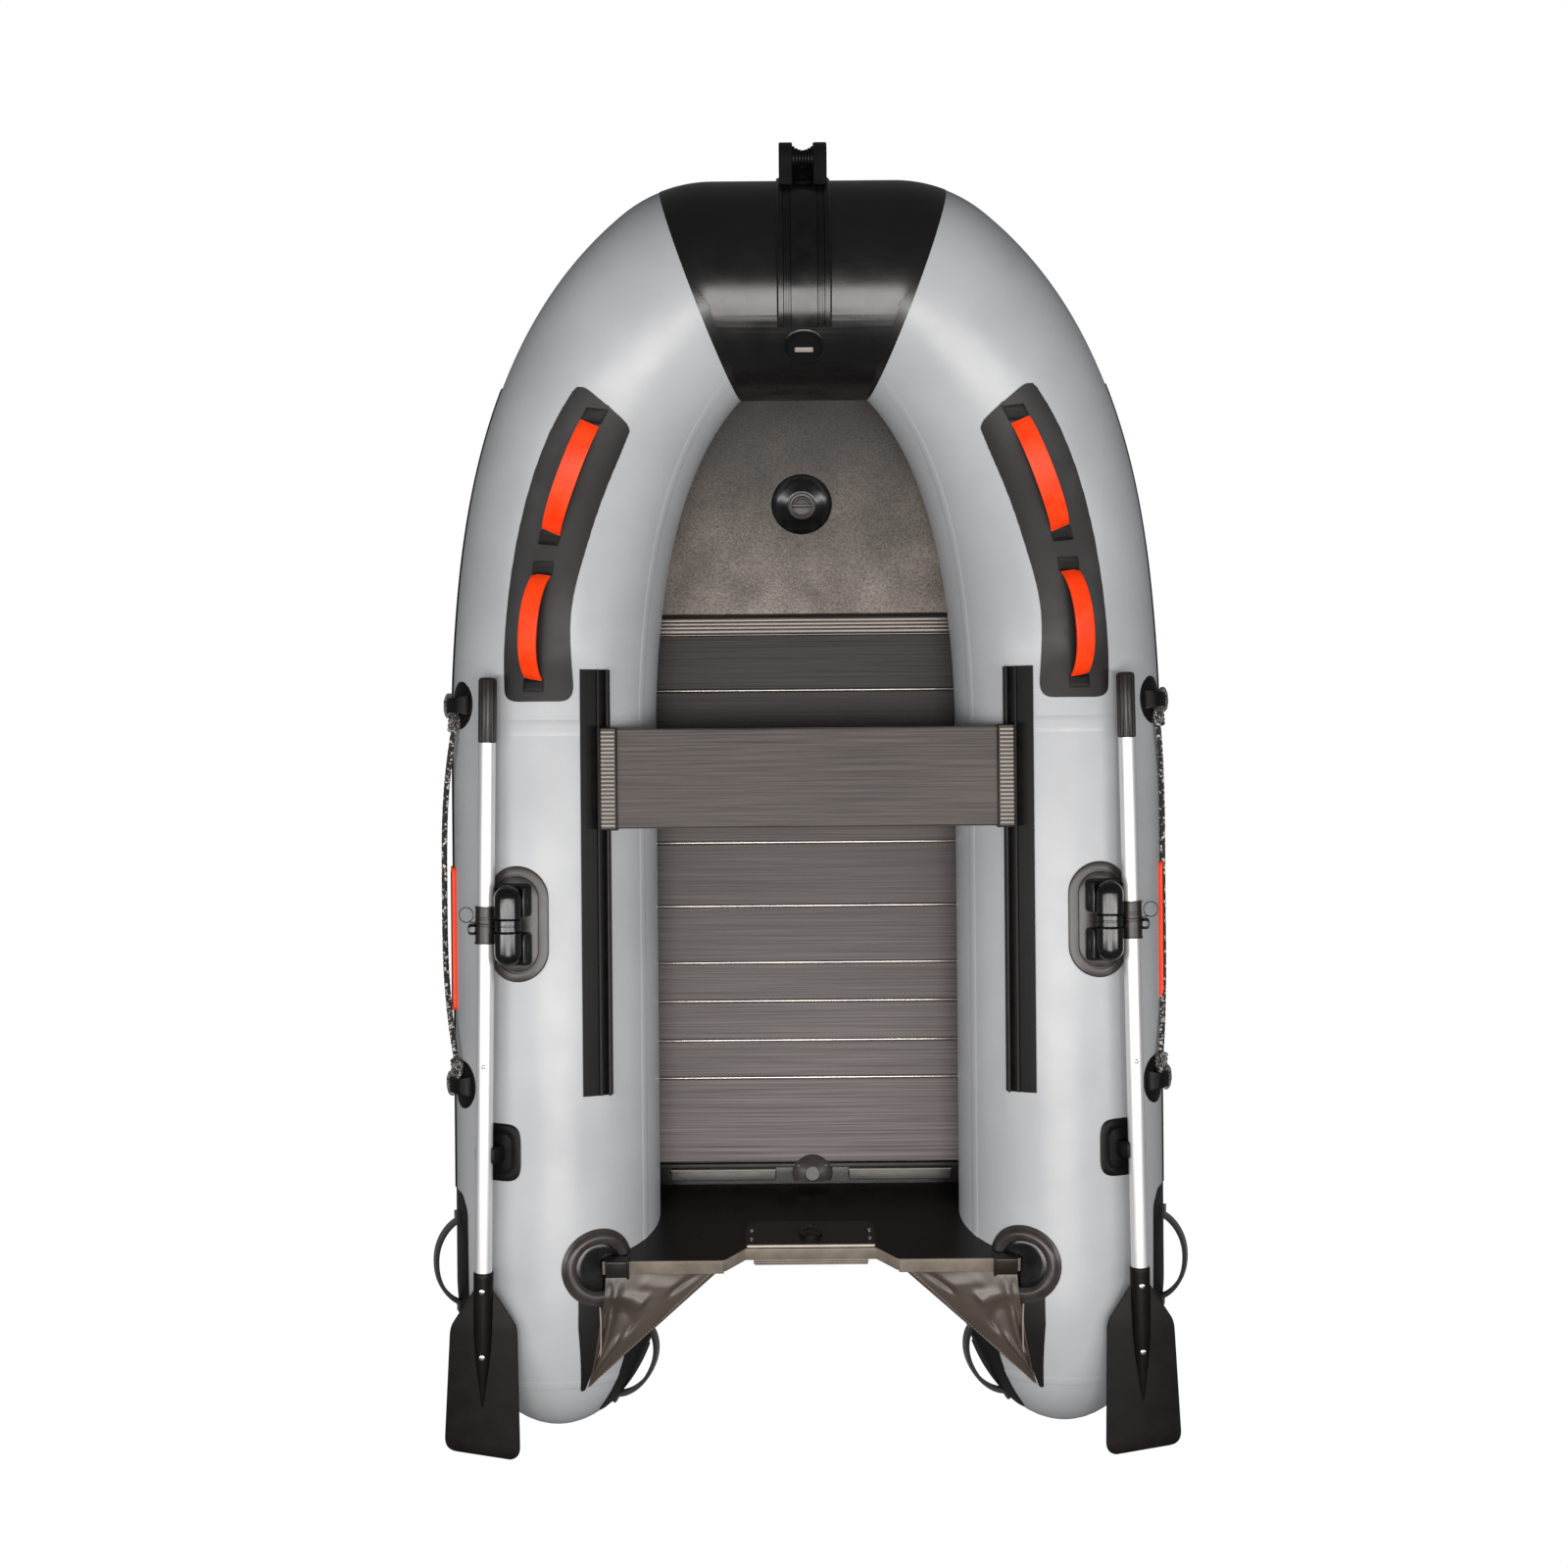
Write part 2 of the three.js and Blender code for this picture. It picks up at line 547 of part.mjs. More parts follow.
function strapBetween(p, q, outwards, { lean = 0, rise, width, thickness, foot }) {
  const along = q.clone().sub(p);
  const half = along.length() / 2;
  along.normalize();
  const normal = outwards.clone().addScaledVector(along, -outwards.dot(along)).normalize();
  normal.applyAxisAngle(along, THREE.MathUtils.degToRad(lean));
  const across = along.clone().cross(normal);
  const [root, bury] = [half - foot, -14];
  const top = rise - thickness;
  const shape = new THREE.Shape();
  shape.moveTo(-half, bury);
  shape.lineTo(-root, bury);
  shape.lineTo(-root, 1);
  shape.bezierCurveTo(-root + 14, 0.7 * top, -0.55 * root, top, 0, top);
  shape.bezierCurveTo(0.55 * root, top, root - 14, 0.7 * top, root, 1);
  shape.lineTo(root, bury);
  shape.lineTo(half, bury);
  shape.lineTo(half, thickness);
  shape.lineTo(root + thickness, thickness);
  shape.bezierCurveTo(root - 10, 0.7 * rise + 4, 0.55 * root, rise, 0, rise);
  shape.bezierCurveTo(-0.55 * root, rise, -root + 10, 0.7 * rise + 4, -root - thickness, thickness);
  shape.lineTo(-half, thickness);
  return trim(extrude(shape, width, 7).translate(0, 0, -width / 2)
    .applyMatrix4(new THREE.Matrix4().makeBasis(along, normal, across)
      .setPosition(p.clone().add(q).multiplyScalar(0.5))));
}

const HANDLE = { rise: 42, width: 39, thickness: 5, foot: 32 };
const OUTER_LOOP = { rise: 54, width: 28, thickness: 4, foot: 22 };
const INNER_LOOP = { rise: 46, width: 28, thickness: 4, foot: 20 };

// A point on the side tube or its stern cone, aft of the curve, `angle` outboard of the top.
function sternSkin(y, angle) {
  const r = TUBE_R * Math.sqrt(1 - Math.max((CONE_Y - y) / CONE_L, 0) ** 2);
  return new THREE.Vector3(...aroundTube(r, THREE.MathUtils.degToRad(angle)), 0)
    .applyMatrix4(new THREE.Matrix4().set(1, 0, 0, 0, 0, 0, 0, y, 0, 1, 0, 0, 0, 0, 0, 1));
}

const outerSternLoop = () => strapBetween(sternSkin(-1048, 70), sternSkin(-839, 70),
  new THREE.Vector3(1, 0, 0.36), OUTER_LOOP);
const innerSternLoop = () => strapBetween(sternSkin(-1252, -80), sternSkin(-1084, -80),
  new THREE.Vector3(-1, -0.5, 0.17), INNER_LOOP);

// A round patch with a bridge athwart it, under which the grab line passes.
const BRIDGE_TOP = 23;
function ropeHolder(y) {
  const disc = lathe([[0, -10], [49, -10], [49, 2], [45, 5], [0, 5]], 24).rotateX(Math.PI / 2);
  const bridge = shapeOf([
    [-30, -6], [-22, -6], [-22, 6], [-14, 18], [14, 18], [22, 6], [22, -6], [30, -6],
    [30, 8], [18, BRIDGE_TOP], [-18, BRIDGE_TOP], [-30, 8],
  ]);
  const width = 24;
  const arch = extrude(bridge, width).rotateX(Math.PI / 2).translate(0, width / 2, 0);
  return trim(union(disc, arch)
    .applyMatrix4(skinFrame(y, THREE.MathUtils.degToRad(HOLDER_ANGLE))));
}

// The grab line's route, from under one bridge to under the other: the share of its swing away from
// the tube, then y and z.
const ROPE_SWING = { port: 42, starboard: 27 };
const ropeHeight = ROPE_R + 5.5;
const ropeFrom = new THREE.Vector3().setFromMatrixPosition(
  skinFrame(HOLDER_Y[0], THREE.MathUtils.degToRad(HOLDER_ANGLE), ropeHeight));
const GRAB_ROUTE = [
  [0, 0, 0], [0.04, -30, 0], [0.22, -70, -10], [0.46, -115, -29], [0.68, -165, -50],
  [0.86, -225, -68], [0.97, -300, -82], [1, -391, -87], [0.97, -483, -82], [0.86, -558, -68],
  [0.68, -618, -50], [0.46, -668, -29], [0.22, -713, -10], [0.04, -753, 0], [0, -783, 0],
];

function grabLine(side) {
  const points = GRAB_ROUTE.map(([share, y, z]) =>
    new THREE.Vector3(ropeFrom.x + share * ROPE_SWING[side], HOLDER_Y[0] + y, ropeFrom.z + z));
  return new THREE.ExtrudeGeometry(circle(ROPE_R), {
    steps: 44, extrudePath: new THREE.CatmullRomCurve3(points), curveSegments: 4,
  });
}

// ---- Anchor roller ----
const rollerAt = new THREE.Vector3(0, NOSE_Y + ROLLER_REACH * Math.cos(ROLLER_ANGLE),
  TUBE_R + BOW_LIFT + ROLLER_REACH * Math.sin(ROLLER_ANGLE));

function rollerBracket() {
  const [front, aft] = [14, 122].map(THREE.MathUtils.degToRad);
  const strip = new THREE.Shape()
    .absarc(NOSE_Y, TUBE_R + BOW_LIFT, TUBE_R + 6, front, aft)
    .absarc(NOSE_Y, TUBE_R + BOW_LIFT, TUBE_R + GAP, aft, front, true);
  const cheeks = [-1, 1].map((side) => {
    const lug = new THREE.Shape();
    const along = (r, a) => [
      NOSE_Y + r * Math.cos(ROLLER_ANGLE + a), TUBE_R + BOW_LIFT + r * Math.sin(ROLLER_ANGLE + a)];
    const spread = 0.17;
    lug.moveTo(...along(TUBE_R + 3, -spread));
    lug.absarc(rollerAt.y, rollerAt.z, CHEEK_R, ROLLER_ANGLE - 1.3, ROLLER_ANGLE + 1.3);
    lug.lineTo(...along(TUBE_R + 3, spread));
    lug.holes.push(new THREE.Path().absarc(rollerAt.y, rollerAt.z, ROLLER_AXLE_R + 1.5, 0, 2 * Math.PI));
    const inner = side * CHEEK_GAP / 2;
    const outer = side * (CHEEK_GAP / 2 + CHEEK_T);
    return extrudeAthwart(lug, Math.min(inner, outer), Math.max(inner, outer), 8);
  });
  return union(extrudeAthwart(strip, -51, 51, 14), ...cheeks);
}

function anchorRoller() {
  const half = CHEEK_GAP / 2 - 2;
  const end = CHEEK_GAP / 2 + CHEEK_T;
  const a = ROLLER_AXLE_R;
  return lathe([
    [0, -end], [a, -end], [a, -half], [22, -half], [21, -half + 4], [15, -6], [15, 6],
    [21, half - 4], [22, half], [a, half], [a, end], [0, end],
  ], 24).rotateZ(-Math.PI / 2).translate(...rollerAt.toArray());
}

// ---- Assembly ----
const boat = new THREE.Group();

function add(parent, name, geometry, look) {
  const mesh = new THREE.Mesh(geometry, look);
  mesh.name = name;
  parent.add(mesh);
}

add(boat, "bow_tube", bowTube(), blackPvc);
add(boat, "bottom_skin", bottomSkin(), blackPvc);
add(boat, "bow_floorboard", bowBoard(), slateBoard);
add(boat, "floor_joint_bar", slat(410, SLAT_EDGES[0] + SLAT_GAP, 338), aluminium);
SLAT_EDGES.slice(0, -1).forEach((edge, i) => {
  const name = `floor_slat_${String(i + 1).padStart(2, "0")}`;
  const half = i === 0 ? 342 : FLOOR_HALF;
  add(boat, name, slat(edge, SLAT_EDGES[i + 1] + SLAT_GAP, half), slateBoard);
});
add(boat, "transom_board", transomBoard(), blackBoard);
add(boat, "inner_motor_pad", onTransom(motorPad(PAD_HALF, 262, 24), 8, -8 - GAP), darkPlastic);
add(boat, "outer_motor_pad", onTransom(motorPad(118, 230, 20), 10, TRANSOM_T + GAP), greyPlastic);
add(boat, "seat_board", seatBoard(), slateBoard);
add(boat, "bow_roller_bracket", rollerBracket(), blackRubber);
add(boat, "bow_roller", anchorRoller(), darkPlastic);

for (const [side, sign] of [["starboard", 1], ["port", -1]]) {
  const half = new THREE.Group();
  half.scale.x = sign;
  boat.add(half);
  const piece = (name, geometry, look) => add(half, `${side}_${name}`, geometry, look);
  piece("side_tube", sideTube(), greyPvc);
  piece("stern_cone", sternCone(), greyPvc);
  piece("transom_holder", transomHolder(), blackRubber);
  piece("transom_gusset", transomGusset(), blackPvc);
  piece("seat_rail", seatRail(), blackRubber);
  piece("seat_cap", seatCap(), greyPlastic);
  piece("oarlock_base", oarlockBase(), blackRubber);
  piece("oarlock_ring", oarlockRing(), blackRubber);
  piece("oar_sleeve", oarSleeve(), darkPlastic);
  piece("oar_shaft", oarShaft(), aluminium);
  piece("oar_grip", oarGrip(), darkPlastic);
  piece("oar_blade", oarBlade(), darkPlastic);
  piece("oar_clip", oarClip(), blackRubber);
  piece("forward_handle", strap({ yAft: 550, yFore: 750, angle: 2, lean: 12, ...HANDLE }), orangeRubber);
  piece("middle_handle", strap({ yAft: 261, yFore: 468, angle: 5, lean: 22, ...HANDLE }), orangeRubber);
  piece("outer_stern_loop", outerSternLoop(), blackRubber);
  piece("inner_stern_loop", innerSternLoop(), blackRubber);
  piece("forward_rope_holder", ropeHolder(HOLDER_Y[0]), blackRubber);
  piece("aft_rope_holder", ropeHolder(HOLDER_Y[1]), blackRubber);
  piece("grab_line", grabLine(side), rope);
}

export default boat;
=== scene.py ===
"""An inflatable dinghy: grey and black coated-fabric tubes, a slatted floor, a bench on rails, a
stern board, oars stowed on the tubes and an anchor roller at the bow. Metres, +Y to the bow,
+X to starboard, +Z up. Pieces are made for the starboard side and copied to port."""

import json
import math
from bisect import bisect_left

import bpy
from mathutils import Matrix, Vector
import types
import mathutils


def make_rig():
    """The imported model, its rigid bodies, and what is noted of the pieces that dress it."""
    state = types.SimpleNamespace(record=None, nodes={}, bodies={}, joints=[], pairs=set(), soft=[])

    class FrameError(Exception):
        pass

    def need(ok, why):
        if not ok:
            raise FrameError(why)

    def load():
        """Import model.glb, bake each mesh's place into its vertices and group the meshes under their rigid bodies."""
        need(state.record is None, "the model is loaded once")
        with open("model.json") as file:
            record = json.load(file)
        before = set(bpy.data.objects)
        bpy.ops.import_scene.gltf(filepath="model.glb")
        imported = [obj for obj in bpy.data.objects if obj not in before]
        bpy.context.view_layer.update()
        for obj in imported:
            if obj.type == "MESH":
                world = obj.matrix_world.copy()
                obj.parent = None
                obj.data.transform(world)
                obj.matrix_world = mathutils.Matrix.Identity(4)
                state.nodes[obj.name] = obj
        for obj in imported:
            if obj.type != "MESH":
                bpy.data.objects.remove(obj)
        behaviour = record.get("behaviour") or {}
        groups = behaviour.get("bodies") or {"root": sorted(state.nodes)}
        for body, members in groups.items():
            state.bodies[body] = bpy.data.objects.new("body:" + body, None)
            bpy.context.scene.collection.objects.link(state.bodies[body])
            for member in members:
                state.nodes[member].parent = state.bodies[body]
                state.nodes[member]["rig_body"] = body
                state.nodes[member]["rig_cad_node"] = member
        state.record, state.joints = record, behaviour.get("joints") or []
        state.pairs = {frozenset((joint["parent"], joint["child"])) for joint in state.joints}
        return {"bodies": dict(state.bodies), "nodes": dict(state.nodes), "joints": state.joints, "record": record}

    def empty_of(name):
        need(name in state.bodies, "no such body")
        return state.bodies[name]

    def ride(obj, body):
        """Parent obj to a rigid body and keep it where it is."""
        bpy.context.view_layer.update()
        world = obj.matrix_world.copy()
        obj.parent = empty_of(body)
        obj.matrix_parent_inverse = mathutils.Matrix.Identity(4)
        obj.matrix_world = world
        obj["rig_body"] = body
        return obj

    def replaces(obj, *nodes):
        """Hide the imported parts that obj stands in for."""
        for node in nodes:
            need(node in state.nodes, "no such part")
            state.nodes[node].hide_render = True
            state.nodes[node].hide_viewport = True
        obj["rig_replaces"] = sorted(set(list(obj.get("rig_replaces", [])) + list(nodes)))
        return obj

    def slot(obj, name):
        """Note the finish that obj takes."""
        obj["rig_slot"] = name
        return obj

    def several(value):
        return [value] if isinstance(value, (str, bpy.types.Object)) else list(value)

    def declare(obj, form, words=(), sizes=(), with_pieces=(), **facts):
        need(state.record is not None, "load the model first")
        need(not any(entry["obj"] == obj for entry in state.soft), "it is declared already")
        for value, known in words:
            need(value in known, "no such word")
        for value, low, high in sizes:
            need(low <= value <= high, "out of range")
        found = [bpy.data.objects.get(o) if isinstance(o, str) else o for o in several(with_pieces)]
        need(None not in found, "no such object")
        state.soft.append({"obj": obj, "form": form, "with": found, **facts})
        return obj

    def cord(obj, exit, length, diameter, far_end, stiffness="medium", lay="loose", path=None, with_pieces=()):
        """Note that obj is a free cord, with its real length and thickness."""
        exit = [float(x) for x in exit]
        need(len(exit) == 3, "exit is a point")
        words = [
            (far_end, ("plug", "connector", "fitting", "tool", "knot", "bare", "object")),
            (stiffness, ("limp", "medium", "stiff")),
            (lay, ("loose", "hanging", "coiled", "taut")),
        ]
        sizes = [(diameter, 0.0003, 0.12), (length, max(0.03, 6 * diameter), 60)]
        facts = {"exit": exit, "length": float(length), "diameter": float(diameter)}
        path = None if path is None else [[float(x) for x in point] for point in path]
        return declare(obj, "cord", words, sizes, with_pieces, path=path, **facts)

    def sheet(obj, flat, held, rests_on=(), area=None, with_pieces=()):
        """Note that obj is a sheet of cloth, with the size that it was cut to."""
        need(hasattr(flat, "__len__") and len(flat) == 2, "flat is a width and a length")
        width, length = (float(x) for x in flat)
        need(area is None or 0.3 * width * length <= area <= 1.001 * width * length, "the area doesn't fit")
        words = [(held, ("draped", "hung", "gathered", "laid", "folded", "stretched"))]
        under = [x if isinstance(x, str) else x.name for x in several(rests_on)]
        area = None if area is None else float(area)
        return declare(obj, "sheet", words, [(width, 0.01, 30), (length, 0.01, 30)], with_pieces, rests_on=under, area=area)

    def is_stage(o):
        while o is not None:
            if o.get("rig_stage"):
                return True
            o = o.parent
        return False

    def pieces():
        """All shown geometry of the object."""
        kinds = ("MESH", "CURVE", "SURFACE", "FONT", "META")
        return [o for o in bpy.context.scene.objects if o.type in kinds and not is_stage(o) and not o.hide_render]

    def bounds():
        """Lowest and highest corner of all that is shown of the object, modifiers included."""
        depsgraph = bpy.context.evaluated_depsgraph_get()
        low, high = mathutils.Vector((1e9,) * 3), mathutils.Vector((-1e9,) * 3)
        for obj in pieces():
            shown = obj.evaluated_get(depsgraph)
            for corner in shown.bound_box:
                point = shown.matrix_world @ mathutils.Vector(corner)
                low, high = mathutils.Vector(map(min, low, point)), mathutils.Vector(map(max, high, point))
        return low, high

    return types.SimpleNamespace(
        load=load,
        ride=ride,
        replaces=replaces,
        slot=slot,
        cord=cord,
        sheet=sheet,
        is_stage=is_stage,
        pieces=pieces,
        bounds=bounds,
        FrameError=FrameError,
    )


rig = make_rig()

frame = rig.load()
cad_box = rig.bounds()
MM = 0.001


def mm(*pairs):
    """Pairs of lengths given in millimetres."""
    return [(a * MM, b * MM) for a, b in pairs]


# ---- Camera and light ----
def make_camera():
    data = bpy.data.cameras.new("overhead_camera")
    data.lens, data.sensor_width = 43.2, 36
    data.clip_end = 50
    camera = bpy.data.objects.new("overhead_camera", data)
    bpy.context.collection.objects.link(camera)
    camera.location = (-0.047, 0.046, 4.215)
    camera.rotation_euler = (0, 0, math.radians(-0.5))
    bpy.context.scene.camera = camera


def softbox(name, place, aim, size, power, color=(1, 1, 1)):
    data = bpy.data.lights.new(name, "AREA")
    data.shape, data.size, data.size_y = "RECTANGLE", size[0], size[1]
    data.energy, data.color = power, color
    light = bpy.data.objects.new(name, data)
    bpy.context.collection.objects.link(light)
    light.location = place
    light.rotation_euler = (Vector(aim) - Vector(place)).to_track_quat("-Z", "Y").to_euler()


def make_studio():
    softbox("overhead_softbox", (0, -0.9, 5.0), (0, 0.2, 0.2), (3.0, 2.2), 168, (1, 0.95, 0.905))
    for side in (-1, 1):
        softbox("side_strip", (side * 3.1, -0.5, 4.4), (side * 0.5, -0.2, 0.3), (0.5, 4.2), 95)
    world = bpy.data.worlds.new("studio_room")
    bpy.context.scene.world = world
    world.use_nodes = True
    background = world.node_tree.nodes["Background"]
    background.inputs["Color"].default_value = (0.96, 0.97, 1, 1)
    # A dim room for the boat to reflect, and even white behind it.
    seen = world.node_tree.nodes.new("ShaderNodeLightPath")
    strength = world.node_tree.nodes.new("ShaderNodeMapRange")
    strength.inputs["To Min"].default_value = 0.13
    strength.inputs["To Max"].default_value = 1.05
    world.node_tree.links.new(seen.outputs["Is Camera Ray"], strength.inputs["Value"])
    world.node_tree.links.new(strength.outputs["Result"], background.inputs["Strength"])
    bpy.context.scene.view_settings.view_transform = "Standard"
    bpy.context.scene.view_settings.look = "None"


make_camera()
make_studio()


# ---- Operators ----
def only(*objects):
    bpy.ops.object.select_all(action="DESELECT")
    for o in objects:
        o.select_set(True)
    bpy.context.view_layer.objects.active = objects[0]


def settle(obj, place=None):
    """Puts the object at a place and leaves it at the origin, with the place in its mesh."""
    if place is not None:
        obj.matrix_world = place
    only(obj)
    bpy.ops.object.transform_apply(location=True, rotation=True, scale=True)
    return obj


def modify(obj, kind, **settings):
    only(obj)
    modifier = obj.modifiers.new(kind.lower(), kind)
    for key, value in settings.items():
        setattr(modifier, key, value)
    bpy.ops.object.modifier_apply(modifier=modifier.name)
    return obj


def smooth(obj, angle=35):
    only(obj)
    bpy.ops.object.shade_smooth_by_angle(angle=math.radians(angle))
    return obj


def edit(obj, pick=None):
    """Enters edit mode with everything selected, or the vertices that pick accepts."""
    only(obj)
    bpy.ops.object.mode_set(mode="EDIT")
    bpy.ops.mesh.select_mode(type="VERT")
    bpy.ops.mesh.select_all(action="DESELECT" if pick else "SELECT")
    if pick:
        bpy.ops.object.mode_set(mode="OBJECT")
        for v in obj.data.vertices:
            v.select = bool(pick(v))
        bpy.ops.object.mode_set(mode="EDIT")


def done():
    bpy.ops.object.mode_set(mode="OBJECT")


def named(obj, name):
    obj.name = obj.data.name = name
    return obj


def closed_up(obj):
    """Merges doubles, fills what is open and turns every face outwards."""
    edit(obj)
    bpy.ops.mesh.remove_doubles(threshold=0.02 * MM)
    bpy.ops.mesh.select_all(action="DESELECT")
    bpy.ops.mesh.select_non_manifold()
    bpy.ops.mesh.fill_holes(sides=0)
    bpy.ops.mesh.select_all(action="SELECT")
    bpy.ops.mesh.normals_make_consistent(inside=False)
    done()
    return obj


def softened(obj, width, segments=2, angle=40):
    modify(obj, "BEVEL", width=width, segments=segments, limit_method="ANGLE",
           angle_limit=math.radians(angle))
    return smooth(obj)


def joined(name, *objects):
    only(*objects)
    bpy.ops.object.join()
    return named(objects[0], name)


def combined(obj, other, operation):
    """A boolean with another object, which goes."""
    modify(obj, "BOOLEAN", operation=operation, object=other, solver="EXACT")
    bpy.data.objects.remove(other)
    return obj


def mirrored(obj, name):
    """The port copy of a starboard piece."""
    copy = obj.copy()
    copy.data = obj.data.copy()
    bpy.context.collection.objects.link(copy)
    copy.scale.x = -1
    settle(copy)
    edit(copy)
    bpy.ops.mesh.flip_normals()
    done()
    return named(copy, name)


# ---- The tubes' shape ----
TUBE_R = 0.214
TUBE_X = 0.532
STRAIGHT_FROM_Y = 0.164
CONE_Y = -0.982
CONE_L = 0.320
NOSE_Y = 1.040
BOW_LIFT = 0.196
RISE_L = 0.820
NOSE_HALF = 0.180
CORNER_R = 0.078
CORNER_TURN = math.radians(40)
SEAM_LEAN = math.radians(6.5)
TUBE_SIDES = 112
CORNER = Vector((NOSE_HALF, NOSE_Y - CORNER_R, TUBE_R + BOW_LIFT))
DEGREE = math.radians(1) * TUBE_R  # of arc on the skin


def side_axis():
    """The starboard tube's axis from the bow corner to the stern cone."""
    start = CORNER + CORNER_R * Vector((math.sin(CORNER_TURN), math.cos(CORNER_TURN), 0))
    heading = Vector((math.cos(CORNER_TURN), -math.sin(CORNER_TURN), 0))
    straight = Vector((TUBE_X, STRAIGHT_FROM_Y, start.z))
    handles = start, start + 0.116 * heading, straight + Vector((0, 0.584, 0)), straight
    steps = 80
    plan = []
    for i in range(steps + 1):
        t = i / steps
        weights = (1 - t) ** 3, 3 * t * (1 - t) ** 2, 3 * t * t * (1 - t), t**3
        plan.append(sum((w * h for w, h in zip(weights, handles)), Vector()))
    aft = 60
    plan += [straight.lerp(Vector((TUBE_X, CONE_Y, start.z)), (i + 1) / aft) for i in range(aft)]
    points, run = [], 0
    for before, here in zip([plan[0]] + plan, plan):
        run += (here - before).length
        s = min(run / RISE_L, 1)
        points.append(Vector((here.x, here.y, TUBE_R + BOW_LIFT * (1 - s * s * (3 - 2 * s)))))
    return points


AXIS = side_axis()
AFT_RUN = [-p.y for p in AXIS]


def axis_at(y):
    """The axis point at a station, and the heading towards the bow."""
    i = min(max(bisect_left(AFT_RUN, -y), 1), len(AXIS) - 1)
    fore, aft = AXIS[i - 1], AXIS[i]
    return aft.lerp(fore, (y - aft.y) / (fore.y - aft.y)), (fore - aft).normalized()


def skin(y, degrees, lift=0.0):
    """A frame on the starboard tube's skin: X down the outboard side, Y to the bow, Z outwards."""
    angle = math.radians(degrees)
    if y < CONE_Y:
        past = min((CONE_Y - y) / CONE_L, 0.999)
        shrink = math.sqrt(1 - past * past)
        around = Vector((math.sin(angle), 0, math.cos(angle)))
        normal = (around * shrink + Vector((0, -past * TUBE_R / CONE_L, 0))).normalized()
        place = Vector((TUBE_X, y, TUBE_R)) + around * TUBE_R * shrink + normal * lift
        along = (Vector((0, 1, 0)) - normal * normal.y).normalized()
    else:
        station = y
        for _ in range(6):
            centre, along = axis_at(max(station, CONE_Y))
            outboard = Vector((along.y, -along.x, 0)).normalized()
            normal = outboard.cross(along) * math.cos(angle) + outboard * math.sin(angle)
            place = centre + normal * (TUBE_R + lift)
            station += y - place.y
    turned_to = Matrix((along.cross(normal), along, normal)).transposed().to_4x4()
    turned_to.translation = place
    return turned_to


def on_nose(x, degrees, lift=0.0):
    """A frame on the bow tube's skin: X to starboard, Y down the forward side, Z outwards."""
    angle = math.radians(degrees)
    turned_to = Matrix.Rotation(-angle, 4, "X")
    turned_to.translation = Vector((x, NOSE_Y, TUBE_R + BOW_LIFT)) + (
        (TUBE_R + lift) * Vector((0, math.sin(angle), math.cos(angle))))
    return turned_to


# ---- Forming ----
def formed(name, across, along, shape):
    """A grid whose vertices go where shape(u, v) says, u and v running from 0 to 1."""
    bpy.ops.mesh.primitive_grid_add(x_subdivisions=across, y_subdivisions=along, size=1)
    obj = named(bpy.context.object, name)
    for v in obj.data.vertices:
        v.co = shape(v.co.x + 0.5, v.co.y + 0.5)
    return obj


def thick(obj, thickness, offset=-1.0):
    edit(obj)
    bpy.ops.mesh.remove_doubles(threshold=0.01 * MM)
    done()
    modify(obj, "SOLIDIFY", thickness=thickness, offset=offset, use_even_offset=True)
    return closed_up(obj)


def wrapped(obj, y, degrees):
    """Lays a flat-built piece on the starboard tube, its X becoming arc down the outboard side."""
    for v in obj.data.vertices:
        v.co = skin(y + v.co.y, degrees + v.co.x / DEGREE, v.co.z).translation
    return obj


def rounded_corner(start, corner, end, steps=8):
    """Points from start to end, easing past a corner."""
    return [(1 - t) ** 2 * start + 2 * t * (1 - t) * corner + t * t * end
            for t in (k / steps for k in range(steps + 1))]


def eased(corners, cut, steps=6):
    """A convex outline with its corners rounded, each cut back by its own length."""
    cuts = cut if isinstance(cut, (list, tuple)) else [cut] * len(corners)
    outline = []
    for i, corner in enumerate(corners):
        here = Vector(corner)
        before, after = Vector(corners[i - 1]), Vector(corners[(i + 1) % len(corners)])
        start = here + (before - here).normalized() * cuts[i]
        end = here + (after - here).normalized() * cuts[i]
        outline += rounded_corner(start, here, end, steps)
    return outline


def rectangle(half_width, half_length, cut=0.0, steps=6):
    corners = [(half_width, -half_length), (half_width, half_length),
               (-half_width, half_length), (-half_width, -half_length)]
    return eased(corners, cut, steps) if cut else [Vector(c) for c in corners]


def patch(name, outline, thickness, cell=8 * MM):
    """A flat patch of a convex, counter-clockwise outline, in cells small enough to wrap."""
    low = [min(p[i] for p in outline) for i in (0, 1)]
    high = [max(p[i] for p in outline) for i in (0, 1)]
    size = [h - l for l, h in zip(low, high)]
    counts = [max(int(s / cell), 1) for s in size]
    obj = formed(name, counts[0], counts[1], lambda u, v: (
        low[0] - MM + u * (size[0] + 2 * MM), low[1] - MM + v * (size[1] + 2 * MM), 0))
    edit(obj)
    for i, corner in enumerate(outline):
        run = outline[i] - outline[i - 1]
        if run.length < 1e-6:
            continue
        run.normalize()
        bpy.ops.mesh.select_all(action="SELECT")
        bpy.ops.mesh.bisect(plane_co=(*corner, 0), plane_no=(run.y, -run.x, 0), clear_outer=True)
    done()
    return thick(obj, thickness, 1.0)


